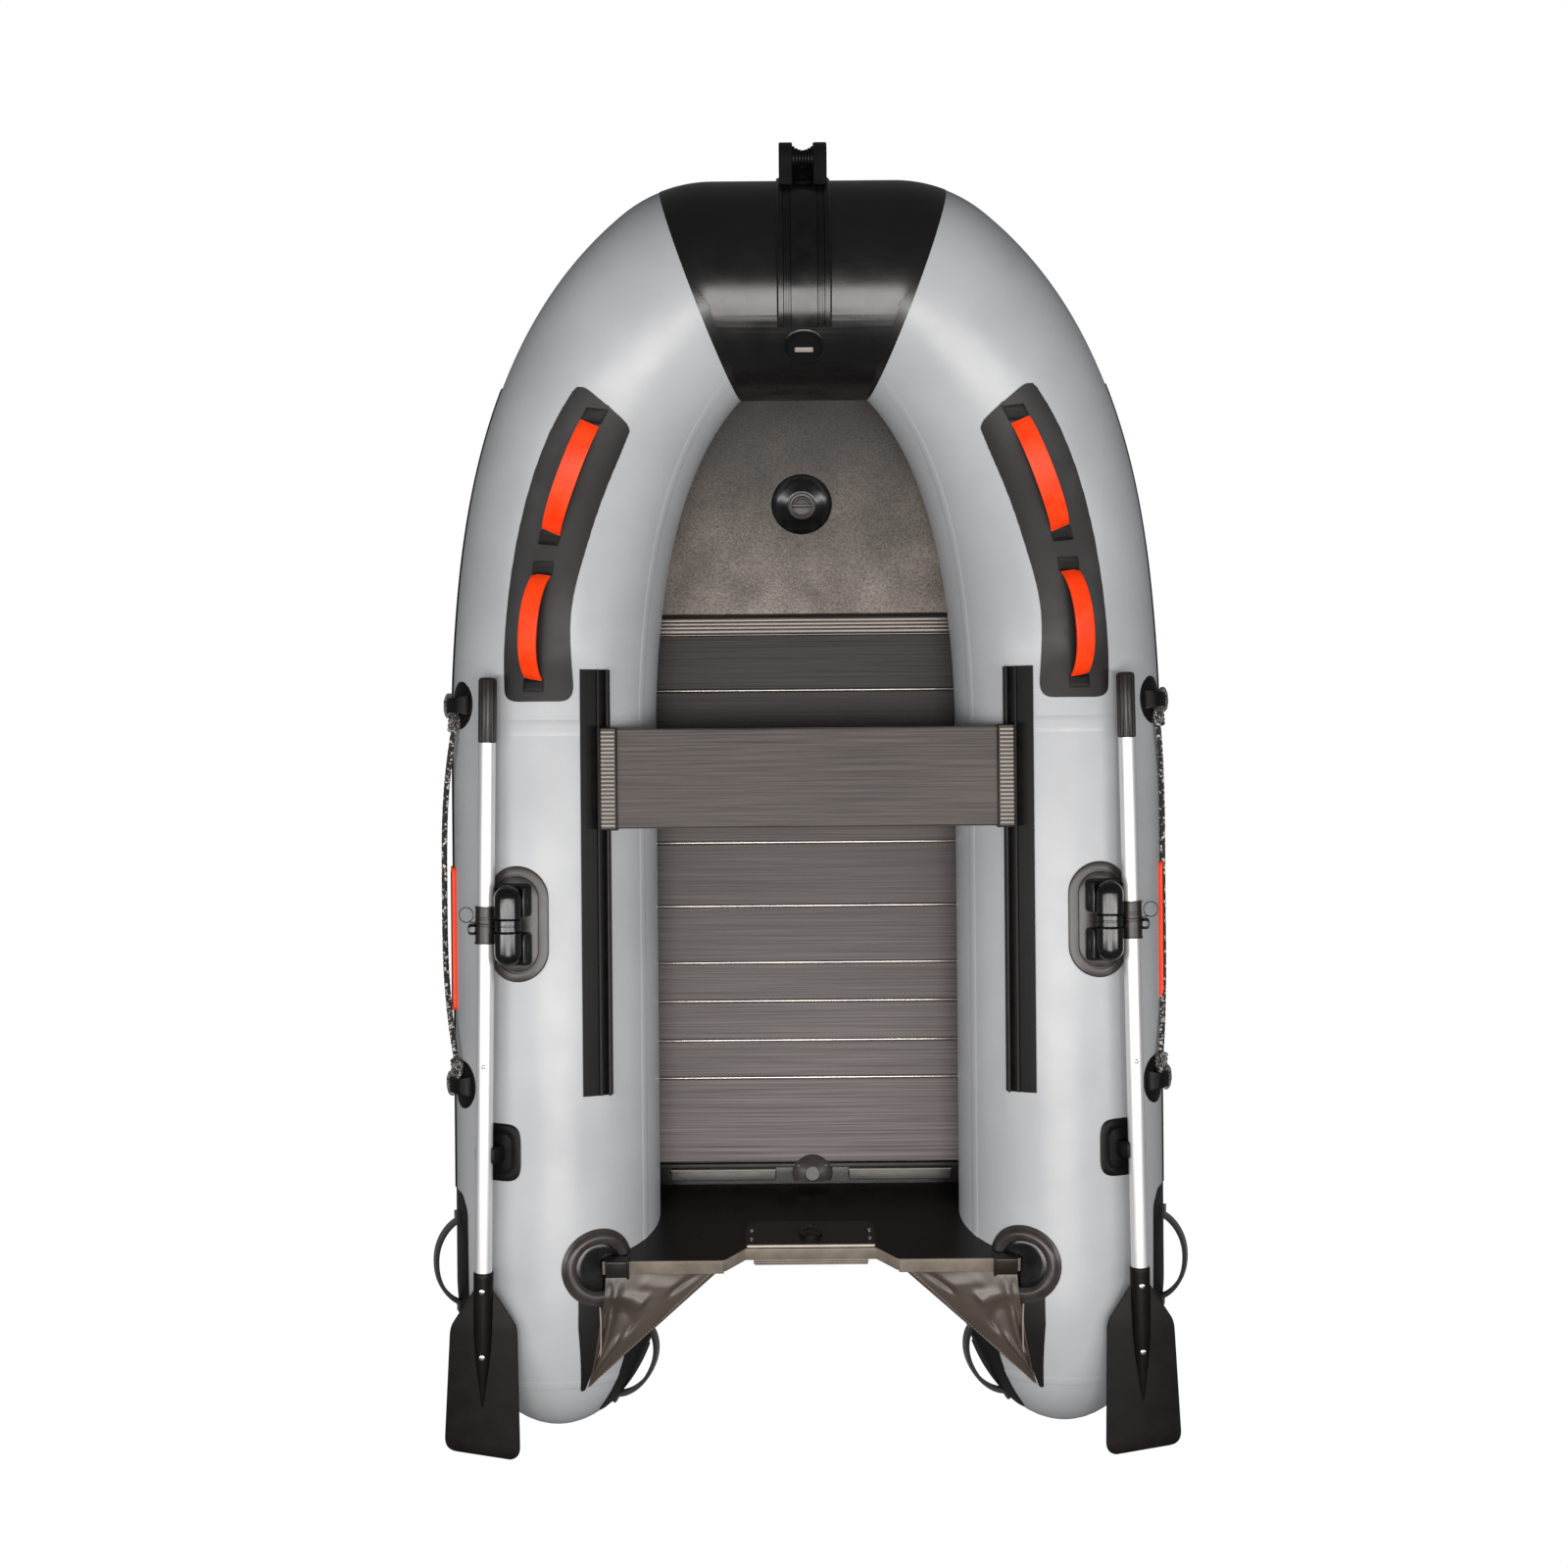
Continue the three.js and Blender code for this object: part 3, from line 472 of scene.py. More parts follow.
def plate(name, outline, thickness, rim=0.0, place=None, holes=()):
    """A flat plate standing on z = 0 of its place, its rims rounded."""
    bpy.ops.curve.primitive_bezier_curve_add(location=(0, 0, 0))
    obj = bpy.context.object
    flat = obj.data
    flat.splines.clear()
    flat.dimensions, flat.fill_mode = "2D", "BOTH"
    for points in (outline, *holes):
        line = flat.splines.new("POLY")
        line.points.add(len(points) - 1)
        for p, q in zip(line.points, points):
            p.co = (q[0], q[1], 0, 1)
        line.use_cyclic_u = True
    flat.extrude = thickness / 2 - rim
    flat.bevel_depth, flat.bevel_resolution, flat.offset = rim, 2, -rim
    only(obj)
    bpy.ops.object.convert(target="MESH")
    obj = named(bpy.context.object, name)
    settle(obj, Matrix.Translation((0, 0, thickness / 2)))
    closed_up(obj)
    if place is not None:
        settle(obj, place)
    return smooth(obj)


def turned(name, profile, place=None, sides=48, hollow=False, angle=35):
    """A profile of (radius, height) turned about Z: a circle extruded and scaled step by step."""
    radius, height = profile[0]
    bpy.ops.mesh.primitive_circle_add(vertices=sides, radius=radius, fill_type="NOTHING",
                                      location=(0, 0, height))
    obj = settle(named(bpy.context.object, name))
    edit(obj)
    for wide, high in profile[1:]:
        bpy.ops.mesh.extrude_region_move(
            TRANSFORM_OT_translate={"value": (0, 0, high - height)})
        bpy.ops.transform.resize(value=(wide / radius, wide / radius, 1),
                                 center_override=(0, 0, high))
        radius, height = wide, high
    done()
    if hollow:
        last = len(obj.data.vertices) - sides
        edit(obj, lambda v: v.index < sides or v.index >= last)
        bpy.ops.mesh.bridge_edge_loops()
        done()
    closed_up(obj)
    if place is not None:
        settle(obj, place)
    return smooth(obj, angle)


def block(name, size, place=None, soft=1.5 * MM):
    """A block with softened edges, centred on its place."""
    bpy.ops.mesh.primitive_cube_add(size=1, location=(0, 0, 0))
    obj = settle(named(bpy.context.object, name), Matrix.Diagonal((*size, 1)))
    softened(obj, soft, 3)
    return settle(obj, place) if place is not None else obj


def rimmed(name, edge, profile, steps=72):
    """A low boss: edge(turn, inset) gives its outline, profile its (inset, height) going inwards."""
    rows = len(profile) - 1

    def shape(u, v):
        inset, height = profile[round(v * rows)]
        return (*edge(u * math.tau, inset), height)

    return closed_up(formed(name, steps, rows, shape))


def stadium(radius, half_straight):
    def edge(turn, inset):
        reach = max(radius - inset, 0.01 * MM)
        end = math.copysign(half_straight, math.sin(turn)) if half_straight else 0
        return reach * math.cos(turn), end + reach * math.sin(turn)
    return edge


def squarish(half_width, half_length, power=4.5):
    """A rounded rectangle, shrinking towards its centre."""
    def edge(turn, inset):
        c, s = math.cos(turn), math.sin(turn)
        out = (abs(c) ** power + abs(s) ** power) ** (-1 / power)
        share = max(1 - inset / min(half_width, half_length), 0.001)
        return half_width * c * out * share, half_length * s * out * share
    return edge


def run_along(name, points, radius, sides, cyclic=False):
    """A round solid along points, its ends closed."""
    bpy.ops.curve.primitive_bezier_curve_add(location=(0, 0, 0))
    obj = bpy.context.object
    obj.data.splines.clear()
    line = obj.data.splines.new("POLY")
    line.points.add(len(points) - 1)
    for p, q in zip(line.points, points):
        p.co = (*q, 1)
    line.use_cyclic_u = cyclic
    obj.data.bevel_depth = radius
    obj.data.bevel_resolution = (sides - 4) // 2
    obj.data.use_fill_caps = True
    only(obj)
    bpy.ops.object.convert(target="MESH")
    return closed_up(named(bpy.context.object, name))


def pipe(name, points, radius, sides=12, cyclic=False):
    """A round bar or wire along points."""
    return smooth(run_along(name, points, radius, sides, cyclic), 50)


def full_turn(steps):
    """The angles of a full turn, in equal steps."""
    return [k * math.tau / steps for k in range(steps)]


def at(x, y, z, *turns):
    """A place from a point and turns in degrees, each (axis, degrees), the last one first."""
    place = Matrix.Translation((x, y, z))
    for axis, degrees in turns:
        place = place @ Matrix.Rotation(math.radians(degrees), 4, axis)
    return place


# ---- Materials ----
def linear(code):
    """A colour from its sRGB hex code."""
    values = [int(code[i : i + 2], 16) / 255 for i in (1, 3, 5)]
    return (*(v / 12.92 if v <= 0.04045 else ((v + 0.055) / 1.055) ** 2.4 for v in values), 1)


def node(tree, kind, inputs=None, **settings):
    """Adds a node, with its settings, and its inputs set or linked."""
    made = tree.nodes.new(kind)
    for key, value in settings.items():
        setattr(made, key, value)
    for key, value in (inputs or {}).items():
        if isinstance(value, bpy.types.NodeSocket):
            tree.links.new(value, made.inputs[key])
        else:
            made.inputs[key].default_value = value
    return made


def surface(name, **inputs):
    """A new material, its node tree, its shader, and its Object coordinates."""
    made = bpy.data.materials.new(name)
    made.use_nodes = True
    tree = made.node_tree
    shader = tree.nodes["Principled BSDF"]
    for key, value in inputs.items():
        shader.inputs[key.replace("_", " ")].default_value = value
    return made, tree, shader, tree.nodes.new("ShaderNodeTexCoord")


def tinted(tree, shader, factor, low, high):
    """The base colour runs from low to high with a factor."""
    mix = node(tree, "ShaderNodeMix", {0: factor, 6: linear(low), 7: linear(high)},
               data_type="RGBA")
    tree.links.new(mix.outputs[2], shader.inputs["Base Color"])


def spread(tree, factor, low, high):
    """A 0 to 1 factor stretched to the range low to high."""
    return node(tree, "ShaderNodeMapRange", {0: factor, 1: low, 2: high}).outputs[0]


def roughened(tree, shader, factor, low, high):
    mapped = node(tree, "ShaderNodeMapRange", {0: factor, 1: 0.3, 2: 0.7, 3: low, 4: high})
    tree.links.new(mapped.outputs[0], shader.inputs["Roughness"])


def raised(tree, shader, height, distance, strength):
    made = node(tree, "ShaderNodeBump", {"Height": height, "Distance": distance,
                                         "Strength": strength})
    tree.links.new(made.outputs["Normal"], shader.inputs["Normal"])


def coated_fabric(name, low, high, roughness, shine=0.5):
    """PVC-coated polyester, calendered: a satin skin with slow clouds in its tone, faint scuffs in
    its gloss, and the base weave, about 1 mm a thread, printing through as a slight ripple."""
    made, tree, shader, place = surface(name, IOR=1.5, Specular_IOR_Level=shine)
    place = place.outputs["Object"]
    cloud = node(tree, "ShaderNodeTexNoise", {"Vector": place, "Scale": 4.0, "Detail": 4.0})
    tinted(tree, shader, spread(tree, cloud.outputs["Fac"], 0.35, 0.65), low, high)
    scuff = node(tree, "ShaderNodeTexNoise", {"Vector": place, "Scale": 14.0, "Detail": 6.0})
    roughened(tree, shader, scuff.outputs["Fac"], roughness - 0.04, roughness + 0.05)
    grain = node(tree, "ShaderNodeTexNoise", {"Vector": place, "Scale": 500.0, "Detail": 2.0})
    raised(tree, shader, grain.outputs["Fac"], 0.12 * MM, 0.3)
    return made


def moulded(name, low, high, roughness, grit=900.0, depth=0.08, **inputs):
    """Moulded rubber or plastic: an even tone, with the fine grit of its mould."""
    made, tree, shader, place = surface(name, IOR=1.5, **inputs)
    place = place.outputs["Object"]
    cloud = node(tree, "ShaderNodeTexNoise", {"Vector": place, "Scale": 30.0, "Detail": 4.0})
    tinted(tree, shader, spread(tree, cloud.outputs["Fac"], 0.3, 0.7), low, high)
    roughened(tree, shader, cloud.outputs["Fac"], roughness - 0.03, roughness + 0.05)
    grain = node(tree, "ShaderNodeTexNoise", {"Vector": place, "Scale": grit, "Detail": 2.0})
    raised(tree, shader, grain.outputs["Fac"], depth * MM, 0.5)
    return made


def painted_bow_shade(tree, shader, place, pale_y, deep_y, deepest):
    """Painted shade: the tone darkens towards the bow, where the boards lie in the bow tube's shade."""
    split = node(tree, "ShaderNodeSeparateXYZ", {0: place.outputs["Object"]})
    share = node(tree, "ShaderNodeMapRange",
                 {0: split.outputs[1], 1: pale_y, 2: deep_y, 3: 1.0, 4: deepest})
    colour = shader.inputs["Base Color"].links[0].from_socket
    mix = node(tree, "ShaderNodeMix", {0: 1.0, 6: colour, 7: share.outputs[0]},
               data_type="RGBA", blend_type="MULTIPLY")
    tree.links.new(mix.outputs[2], shader.inputs["Base Color"])


def brushed(name, low, high, roughness, scale, depth, bow_shade_span=None, **inputs):
    """A face brushed one way: fine streaks, long where the scale is small."""
    made, tree, shader, place = surface(name, **inputs)
    squeezed = node(tree, "ShaderNodeMapping", {"Vector": place.outputs["Object"], "Scale": scale})
    streak = node(tree, "ShaderNodeTexNoise",
                  {"Vector": squeezed.outputs[0], "Scale": 1.0, "Detail": 6.0})
    tinted(tree, shader, spread(tree, streak.outputs["Fac"], 0.3, 0.7), low, high)
    roughened(tree, shader, streak.outputs["Fac"], roughness - 0.05, roughness + 0.08)
    raised(tree, shader, streak.outputs["Fac"], depth * MM, 0.5)
    # Painted shade where asked: darker towards the bow.
    if bow_shade_span:
        painted_bow_shade(tree, shader, place, *bow_shade_span)
    return made


def pebbled(name, low, high, roughness, bow_shade_span):
    """Resin-faced board with an orange-peel grain of 3 to 4 mm pebbles, rubbed lighter in patches."""
    made, tree, shader, coordinates = surface(name, IOR=1.5, Specular_IOR_Level=0.22)
    place = coordinates.outputs["Object"]
    pebble = node(tree, "ShaderNodeTexNoise", {"Vector": place, "Scale": 230.0, "Detail": 2.0})
    rubbed = node(tree, "ShaderNodeTexNoise", {"Vector": place, "Scale": 9.0, "Detail": 5.0})
    both = node(tree, "ShaderNodeMath", {0: pebble.outputs["Fac"], 1: rubbed.outputs["Fac"]},
                operation="MULTIPLY_ADD")
    both.inputs[2].default_value = 0.24
    tinted(tree, shader, spread(tree, both.outputs[0], 0.3, 0.68), low, high)
    roughened(tree, shader, rubbed.outputs["Fac"], roughness - 0.05, roughness + 0.08)
    raised(tree, shader, pebble.outputs["Fac"], 0.7 * MM, 0.7)
    # Painted shade: darker towards the bow.
    painted_bow_shade(tree, shader, coordinates, *bow_shade_span)
    return made


def braided(name):
    """Black polyester braid with pale flecks: strands 3 mm wide crossing both ways round the rope,
    drawn from the rope's own UV map, eight to a turn."""
    made, tree, shader, place = surface(name, Roughness=0.75, IOR=1.5, Sheen_Weight=0.3)
    strands = []
    for side in (1, -1):
        laid = node(tree, "ShaderNodeMapping", {"Vector": place.outputs["UV"],
                                                "Scale": (4.0, side * 110.0, 1.0)})
        split = node(tree, "ShaderNodeSeparateXYZ", {0: laid.outputs[0]})
        summed = node(tree, "ShaderNodeMath", {0: split.outputs[0], 1: split.outputs[1]},
                      operation="ADD")
        strands.append(node(tree, "ShaderNodeMath", {0: summed.outputs[0], 1: 1.0},
                            operation="PINGPONG").outputs[0])
    weave = node(tree, "ShaderNodeMath", {0: strands[0], 1: strands[1]}, operation="MAXIMUM")
    cells = node(tree, "ShaderNodeMapping", {"Vector": place.outputs["UV"],
                                             "Scale": (7.0, 230.0, 1.0)})
    fleck = node(tree, "ShaderNodeTexVoronoi", {"Vector": cells.outputs[0], "Scale": 1.0})
    pale = node(tree, "ShaderNodeMapRange", {0: fleck.outputs["Color"], 1: 0.68, 2: 0.76})
    lit = node(tree, "ShaderNodeMath", {0: pale.outputs[0], 1: weave.outputs[0]},
               operation="MULTIPLY")
    tinted(tree, shader, lit.outputs[0], "#0b0b0b", "#d9d3c8")
    raised(tree, shader, weave.outputs[0], 1.2 * MM, 0.9)
    return made


def webbing(name):
    """Woven polypropylene strap: ribs 1.6 mm apart across it, from the strap's own UV map."""
    made, tree, shader, place = surface(name, Roughness=0.6, IOR=1.5, Sheen_Weight=0.2)
    ribs = node(tree, "ShaderNodeMapping", {"Vector": place.outputs["UV"],
                                            "Scale": (9.0, 110.0, 1.0)})
    wave = node(tree, "ShaderNodeTexWave", {"Vector": ribs.outputs[0], "Scale": 0.5},
                bands_direction="Y")
    tinted(tree, shader, wave.outputs["Fac"], "#070707", "#1d1c1b")
    raised(tree, shader, wave.outputs["Fac"], 0.5 * MM, 0.6)
    return made


# Coated cloth: satin grey tubes, a shinier black bow, a supple brown-black gusset, duller patches.
grey_fabric = coated_fabric("grey_coated_fabric", "#a3a6aa", "#adb0b3", 0.34)
black_fabric = coated_fabric("black_coated_fabric", "#0a0909", "#100f0f", 0.26, 0.6)
gusset_fabric = coated_fabric("supple_coated_fabric", "#3a322c", "#4b4139", 0.4, 0.6)
patch_fabric = coated_fabric("glued_patch_fabric", "#131111", "#1a1817", 0.42, 0.3)
# Moulded rubber: near-black and dull where it grips, greyed on flanges, holders and the drain
# partly by bloom and partly by a painted sheen, polished on housings and valves, and a flat
# orange on handles and plates.
black_rubber = moulded("black_moulded_rubber", "#0b0a0a", "#131212", 0.4, Specular_IOR_Level=0.14)
bloom_and_sheen_rubber = moulded("bloom_and_painted_sheen_rubber", "#2d2826", "#3b3633", 0.34)
glossy_rubber = moulded("polished_black_rubber", "#080808", "#0e0e0e", 0.2, 500.0, 0.02)
orange_rubber = moulded("orange_moulded_rubber", "#f93708", "#ff4716", 0.42, Specular_IOR_Level=0.25)
# Resin-faced boards: streaked athwart on slats and bench, pebbled at the bow, lacquered black in
# the transom, and varnished brown where an edge shows.
# Slats and bow board carry painted shade, darker towards the bow where the bow tube shades them.
slat_board = brushed("brushed_slat_board", "#363130", "#787170", 0.4, (3.0, 420.0, 60.0), 0.3,
                     (-0.75, 0.36, 0.24), IOR=1.5, Specular_IOR_Level=0.22)
bench_board = brushed("brushed_bench_board", "#2c2726", "#5a5350", 0.4, (4.0, 300.0, 60.0), 0.25,
                      IOR=1.5, Specular_IOR_Level=0.22)
bow_board = pebbled("pebbled_bow_board", "#3a3532", "#968d86", 0.46, (0.43, 0.84, 0.10))
black_board = moulded("black_lacquered_board", "#0c0a09", "#120f0e", 0.3, Specular_IOR_Level=0.3)
edge_board = moulded("varnished_board_edge", "#655c52", "#786e63", 0.4)
# Moulded plastic: near-black oar fittings, a dull filled blade, grey valve rings, pale pads and
# ribs, pale strips that are painted highlights on the gusset's fold and the floor's end, and a
# cream strip that is a painted highlight along the top edge of the motor's rest.
dark_plastic = moulded("dark_moulded_plastic", "#17120f", "#201a17", 0.36)
blade_plastic = moulded("filled_polyamide_blade", "#0d0b08", "#13100d", 0.42, 260.0, 0.2,
                        Specular_IOR_Level=0.12)
grey_plastic = moulded("grey_moulded_plastic", "#34302e", "#413d3b", 0.42, Specular_IOR_Level=0.3)
pad_and_highlight_plastic = moulded("pale_pad_and_painted_highlight_plastic", "#857d75", "#968e85", 0.42)
highlight_cream_plastic = moulded("painted_highlight_cream_plastic", "#b5ab9f", "#c4bbaf", 0.4)
# Metal: anodised shafts, pale and matt, a mill-finish joint bar, bright seam strips and polished
# steel rivets and screws.
anodised = brushed("anodised_aluminium", "#dededf", "#e8e8e9", 0.4, (700.0, 6.0, 700.0), 0.02,
                   Metallic=0.65)
profile_metal = brushed("mill_aluminium_profile", "#4e4a48", "#6b6764", 0.34, (6.0, 700.0, 300.0),
                        0.05, Metallic=1)
seam_metal = brushed("polished_seam_strip", "#d8cfc6", "#e8e2da", 0.3, (6.0, 700.0, 300.0), 0.03,
                     Metallic=0.8)
steel = moulded("polished_steel", "#d8d8d8", "#ececec", 0.2, 900.0, 0.01, Metallic=1)
# Braid and webbing: matt fibre, its weave in relief.
rope_fibre = braided("braided_polyester_rope")
loop_webbing = webbing("woven_loop_webbing")

CAD_FINISH = {
    "grey_fabric": grey_fabric,
    "black_fabric": black_fabric,
    "black_rubber": black_rubber,
    "orange_rubber": orange_rubber,
    "slate_board": slat_board,
    "black_board": black_board,
    "aluminium": anodised,
    "dark_plastic": dark_plastic,
    "grey_plastic": grey_plastic,
    "rope": rope_fibre,
}


def finish_with(obj, material):
    obj.data.materials.clear()
    obj.data.materials.append(material)


def paint_frame():
    for part in frame["record"]["subparts"]:
        finish_with(frame["nodes"][part["node"]], CAD_FINISH[part["material_slot"]])
    finish_with(frame["nodes"]["bow_floorboard"], bow_board)
    finish_with(frame["nodes"]["seat_board"], bench_board)
    finish_with(frame["nodes"]["outer_motor_pad"], pad_and_highlight_plastic)


def piece(obj, body, material, slot, *replaced):
    """Gives a finished piece its material, its body and what it stands for."""
    finish_with(obj, material)
    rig.ride(obj, body)
    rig.slot(obj, slot)
    if replaced:
        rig.replaces(obj, *replaced)
    return obj


def both(obj, body, material, slot, *replaced):
    """The same for a starboard piece and its port copy: body and nodes are named without a side."""
    name = obj.name
    pair = {"port": mirrored(obj, "port_" + name), "starboard": named(obj, "starboard_" + name)}
    for side, one in pair.items():
        own = body if body == "hull" else f"{side}_{body}"
        piece(one, own, material, slot, *(f"{side}_{n}" for n in replaced))
    return pair


paint_frame()

# ---- Grab lines ----
ROPE_R = 6 * MM
HOLDER_Y = 0.214, -0.569
HOLDER_ANGLE = 58
ROPE_SWING = {"port": 42 * MM, "starboard": 27 * MM}
ROPE_FROM = skin(HOLDER_Y[0], HOLDER_ANGLE, ROPE_R + 5.5 * MM).translation
# From under the forward bridge to under the aft one: the share of its swing away from the tube,
# then y and z in millimetres from its start.
GRAB_ROUTE = [
    (0, 0, 0), (0.04, -30, 0), (0.22, -70, -10), (0.46, -115, -29), (0.68, -165, -50),
    (0.86, -225, -68), (0.97, -300, -82), (1, -391, -87), (0.97, -483, -82), (0.86, -558, -68),
    (0.68, -618, -50), (0.46, -668, -29), (0.22, -713, -10), (0.04, -753, 0), (0, -783, 0),
]


def curved_through(points, per_span=14):
    """A centripetal Catmull-Rom curve through points."""
    ends = [2 * points[0] - points[1], *points, 2 * points[-1] - points[-2]]
    line = []
    for a, b, c, d in zip(ends, ends[1:], ends[2:], ends[3:]):
        da, db, dc = (b - a).length**0.5, (c - b).length**0.5, (d - c).length**0.5
        leave = ((b - a) / da - (c - a) / (da + db) + (c - b) / db) * db
        arrive = ((c - b) / db - (d - b) / (db + dc) + (d - c) / dc) * db
        for i in range(per_span):
            t = i / per_span
            line.append(b + t * leave + t * t * (3 * (c - b) - 2 * leave - arrive)
                        + t**3 * (2 * (b - c) + leave + arrive))
    return line + [points[-1]]


def rope_mesh(name, path, radius, lobes=3, twist=70, sides=18):
    """A laid rope: strands bulging round it and turning along it."""
    runs = [0.0]
    for p, q in zip(path, path[1:]):
        runs.append(runs[-1] + (q - p).length)
    up = Vector((0, 0, 1))

    def shape(u, v):
        i = min(round(v * (len(path) - 1)), len(path) - 1)
        heading = (path[min(i + 1, len(path) - 1)] - path[max(i - 1, 0)]).normalized()
        right = heading.cross(up if abs(heading.z) < 0.95 else Vector((1, 0, 0))).normalized()
        over = right.cross(heading)
        turn = u * math.tau
        swell = radius * (1 + 0.07 * math.cos(lobes * turn + twist * math.tau * runs[i]))
        return path[i] + swell * (math.cos(turn) * right + math.sin(turn) * over)

    return smooth(closed_up(formed(name, sides, len(path) - 1, shape)), 60)


def grab_line(side):
    sign = 1 if side == "starboard" else -1
    points = [Vector((sign * (ROPE_FROM.x + share * ROPE_SWING[side]),
                      HOLDER_Y[0] + y * MM, ROPE_FROM.z + z * MM)) for share, y, z in GRAB_ROUTE]
    path = curved_through(points)
    rope = rope_mesh(f"{side}_grab_rope", path, ROPE_R)
    piece(rope, "hull", rope_fibre, "rope", f"{side}_grab_line")
    ties = []
    for end, y, heading in (("forward", HOLDER_Y[0], -1), ("aft", HOLDER_Y[1], 1)):
        place = skin(y, HOLDER_ANGLE)
        flip = Matrix.Diagonal((sign, 1, 1, 1))
        eye = [flip @ place @ Vector((33 * MM + 16 * MM * math.cos(a), 21 * MM * math.sin(a),
                                      13 * MM)) for a in (*full_turn(40), math.tau)]
        base = points[0] if heading < 0 else points[-1]
        along = Vector((sign * 0.1, heading, -0.12)).normalized()
        outward = Vector((sign, 0, 0))
        across = along.cross(outward).normalized()
        start = base + along * 24 * MM
        hitch = []
        for share in (k / 60 for k in range(61)):
            turn = share * 3 * math.tau
            hitch.append(start + along * (share * 26 * MM)
                         + 8.5 * MM * (math.cos(turn) * outward + math.sin(turn) * across))
        for kind, run in (("eye", eye), ("hitch", hitch)):
            tie = rope_mesh(f"{side}_{end}_rope_{kind}", run, 5.4 * MM)
            ties.append(piece(tie, "hull", rope_fibre, "rope"))
    length = sum((q - p).length for p, q in zip(path, path[1:]))
    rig.cord(rope, exit=path[0], length=length, diameter=2 * ROPE_R, far_end="object",
            stiffness="limp", lay="hanging", path=path, with_pieces=ties)


for side in ("port", "starboard"):
    grab_line(side)


# ---- Tubes ----
def elbow(radius):
    """The bend at the corner: the part of a tube's disc beyond the corner's upright, spun round it."""
    overlap = math.radians(1)
    bpy.ops.mesh.primitive_circle_add(vertices=TUBE_SIDES, radius=radius, fill_type="NGON",
                                      location=(CORNER.x, NOSE_Y, CORNER.z),
                                      rotation=(0, math.radians(90), 0))
    obj = settle(named(bpy.context.object, "corner_elbow"))
    edit(obj)
    bpy.ops.mesh.bisect(plane_co=CORNER, plane_no=(0, -1, 0), clear_outer=True)
    done()
    settle(obj, Matrix.Translation(CORNER) @ Matrix.Rotation(overlap, 4, "Z")
           @ Matrix.Translation(-CORNER))
    edit(obj)
    bpy.ops.mesh.spin(steps=24, angle=CORNER_TURN + 2 * overlap, center=CORNER, axis=(0, 0, 1))
    done()
    if obj.bound_box[6][0] < CORNER.x + 0.1:
        raise RuntimeError("the elbow turned the wrong way")
    return closed_up(obj)


def half_hull(radius, reach):
    """The bow tube, its starboard corner and some of the side tube in one body."""
    bpy.ops.mesh.primitive_cylinder_add(vertices=TUBE_SIDES, radius=radius, depth=2 * NOSE_HALF,
                                        location=(0, NOSE_Y, CORNER.z),
                                        rotation=(0, math.radians(90), 0))
    obj = settle(bpy.context.object)
    combined(obj, elbow(radius), "UNION")
    side_run = run_along("side_run", AXIS[:reach], radius, TUBE_SIDES)
    return combined(obj, side_run, "UNION")


def mitre(obj, side, outwards):
    """Cuts at the corner's leaning seam and caps it; outwards keeps what lies towards the nose."""
    half_turn = CORNER_TURN / 2
    normal = Vector((side * math.cos(SEAM_LEAN) * math.cos(half_turn),
                     -math.cos(SEAM_LEAN) * math.sin(half_turn), -math.sin(SEAM_LEAN)))
    edit(obj)
    bpy.ops.mesh.bisect(plane_co=(side * CORNER.x, CORNER.y, CORNER.z), use_fill=True,
                        plane_no=normal if outwards else -normal, clear_outer=True)
    done()


def stern_end(obj):
    """Opens the side tube's aft end and draws its rim out into the cone."""
    rings = 20
    start = CONE_Y + 0.2 * MM
    edit(obj)
    bpy.ops.mesh.bisect(plane_co=(0, start, 0), plane_no=(0, -1, 0), clear_outer=True)
    done()
    before, size = start, 1.0
    edit(obj, lambda v: v.co.y < start + 0.05 * MM)
    for i in range(1, rings + 1):
        turn = math.radians(90) * min(i / rings, 0.985)
        y, wide = CONE_Y - CONE_L * math.sin(turn), math.cos(turn)
        bpy.ops.mesh.extrude_region_move(TRANSFORM_OT_translate={"value": (0, y - before, 0)})
        bpy.ops.transform.resize(value=(wide / size, 1, wide / size),
                                 center_override=(TUBE_X, y, TUBE_R))
        before, size = y, wide
    done()


def build_tubes():
    tube = half_hull(TUBE_R, len(AXIS))
    mitre(tube, 1, False)
    stern_end(tube)
    both(smooth(closed_up(named(tube, "tube_fabric"))), "hull", grey_fabric, "grey_fabric",
         "side_tube", "stern_cone")
    # The bow's fabric laps over the grey tubes, so it is a little larger round.
    bow = half_hull(TUBE_R + 0.9 * MM, 26)
    combined(bow, mirrored(bow, "other_half"), "UNION")
    for side in (1, -1):
        mitre(bow, side, True)
    piece(smooth(closed_up(named(bow, "bow_tube_fabric"))), "hull", black_fabric, "black_fabric",
          "bow_tube")


def band(name, degrees, stations, rise, cells=(4, 120)):
    """A raised band of fabric along or round the tube, between two angles and two stations."""
    def shape(u, v):
        swell = min(1, 6 * min(u, 1 - u), 20 * min(v, 1 - v))
        return skin(stations[0] + v * (stations[1] - stations[0]),
                    degrees[0] + u * (degrees[1] - degrees[0]), 0.2 * MM + swell * rise).translation
    obj = thick(formed(name, *cells, shape), 1.2 * MM, -1)
    return smooth(obj, 50)


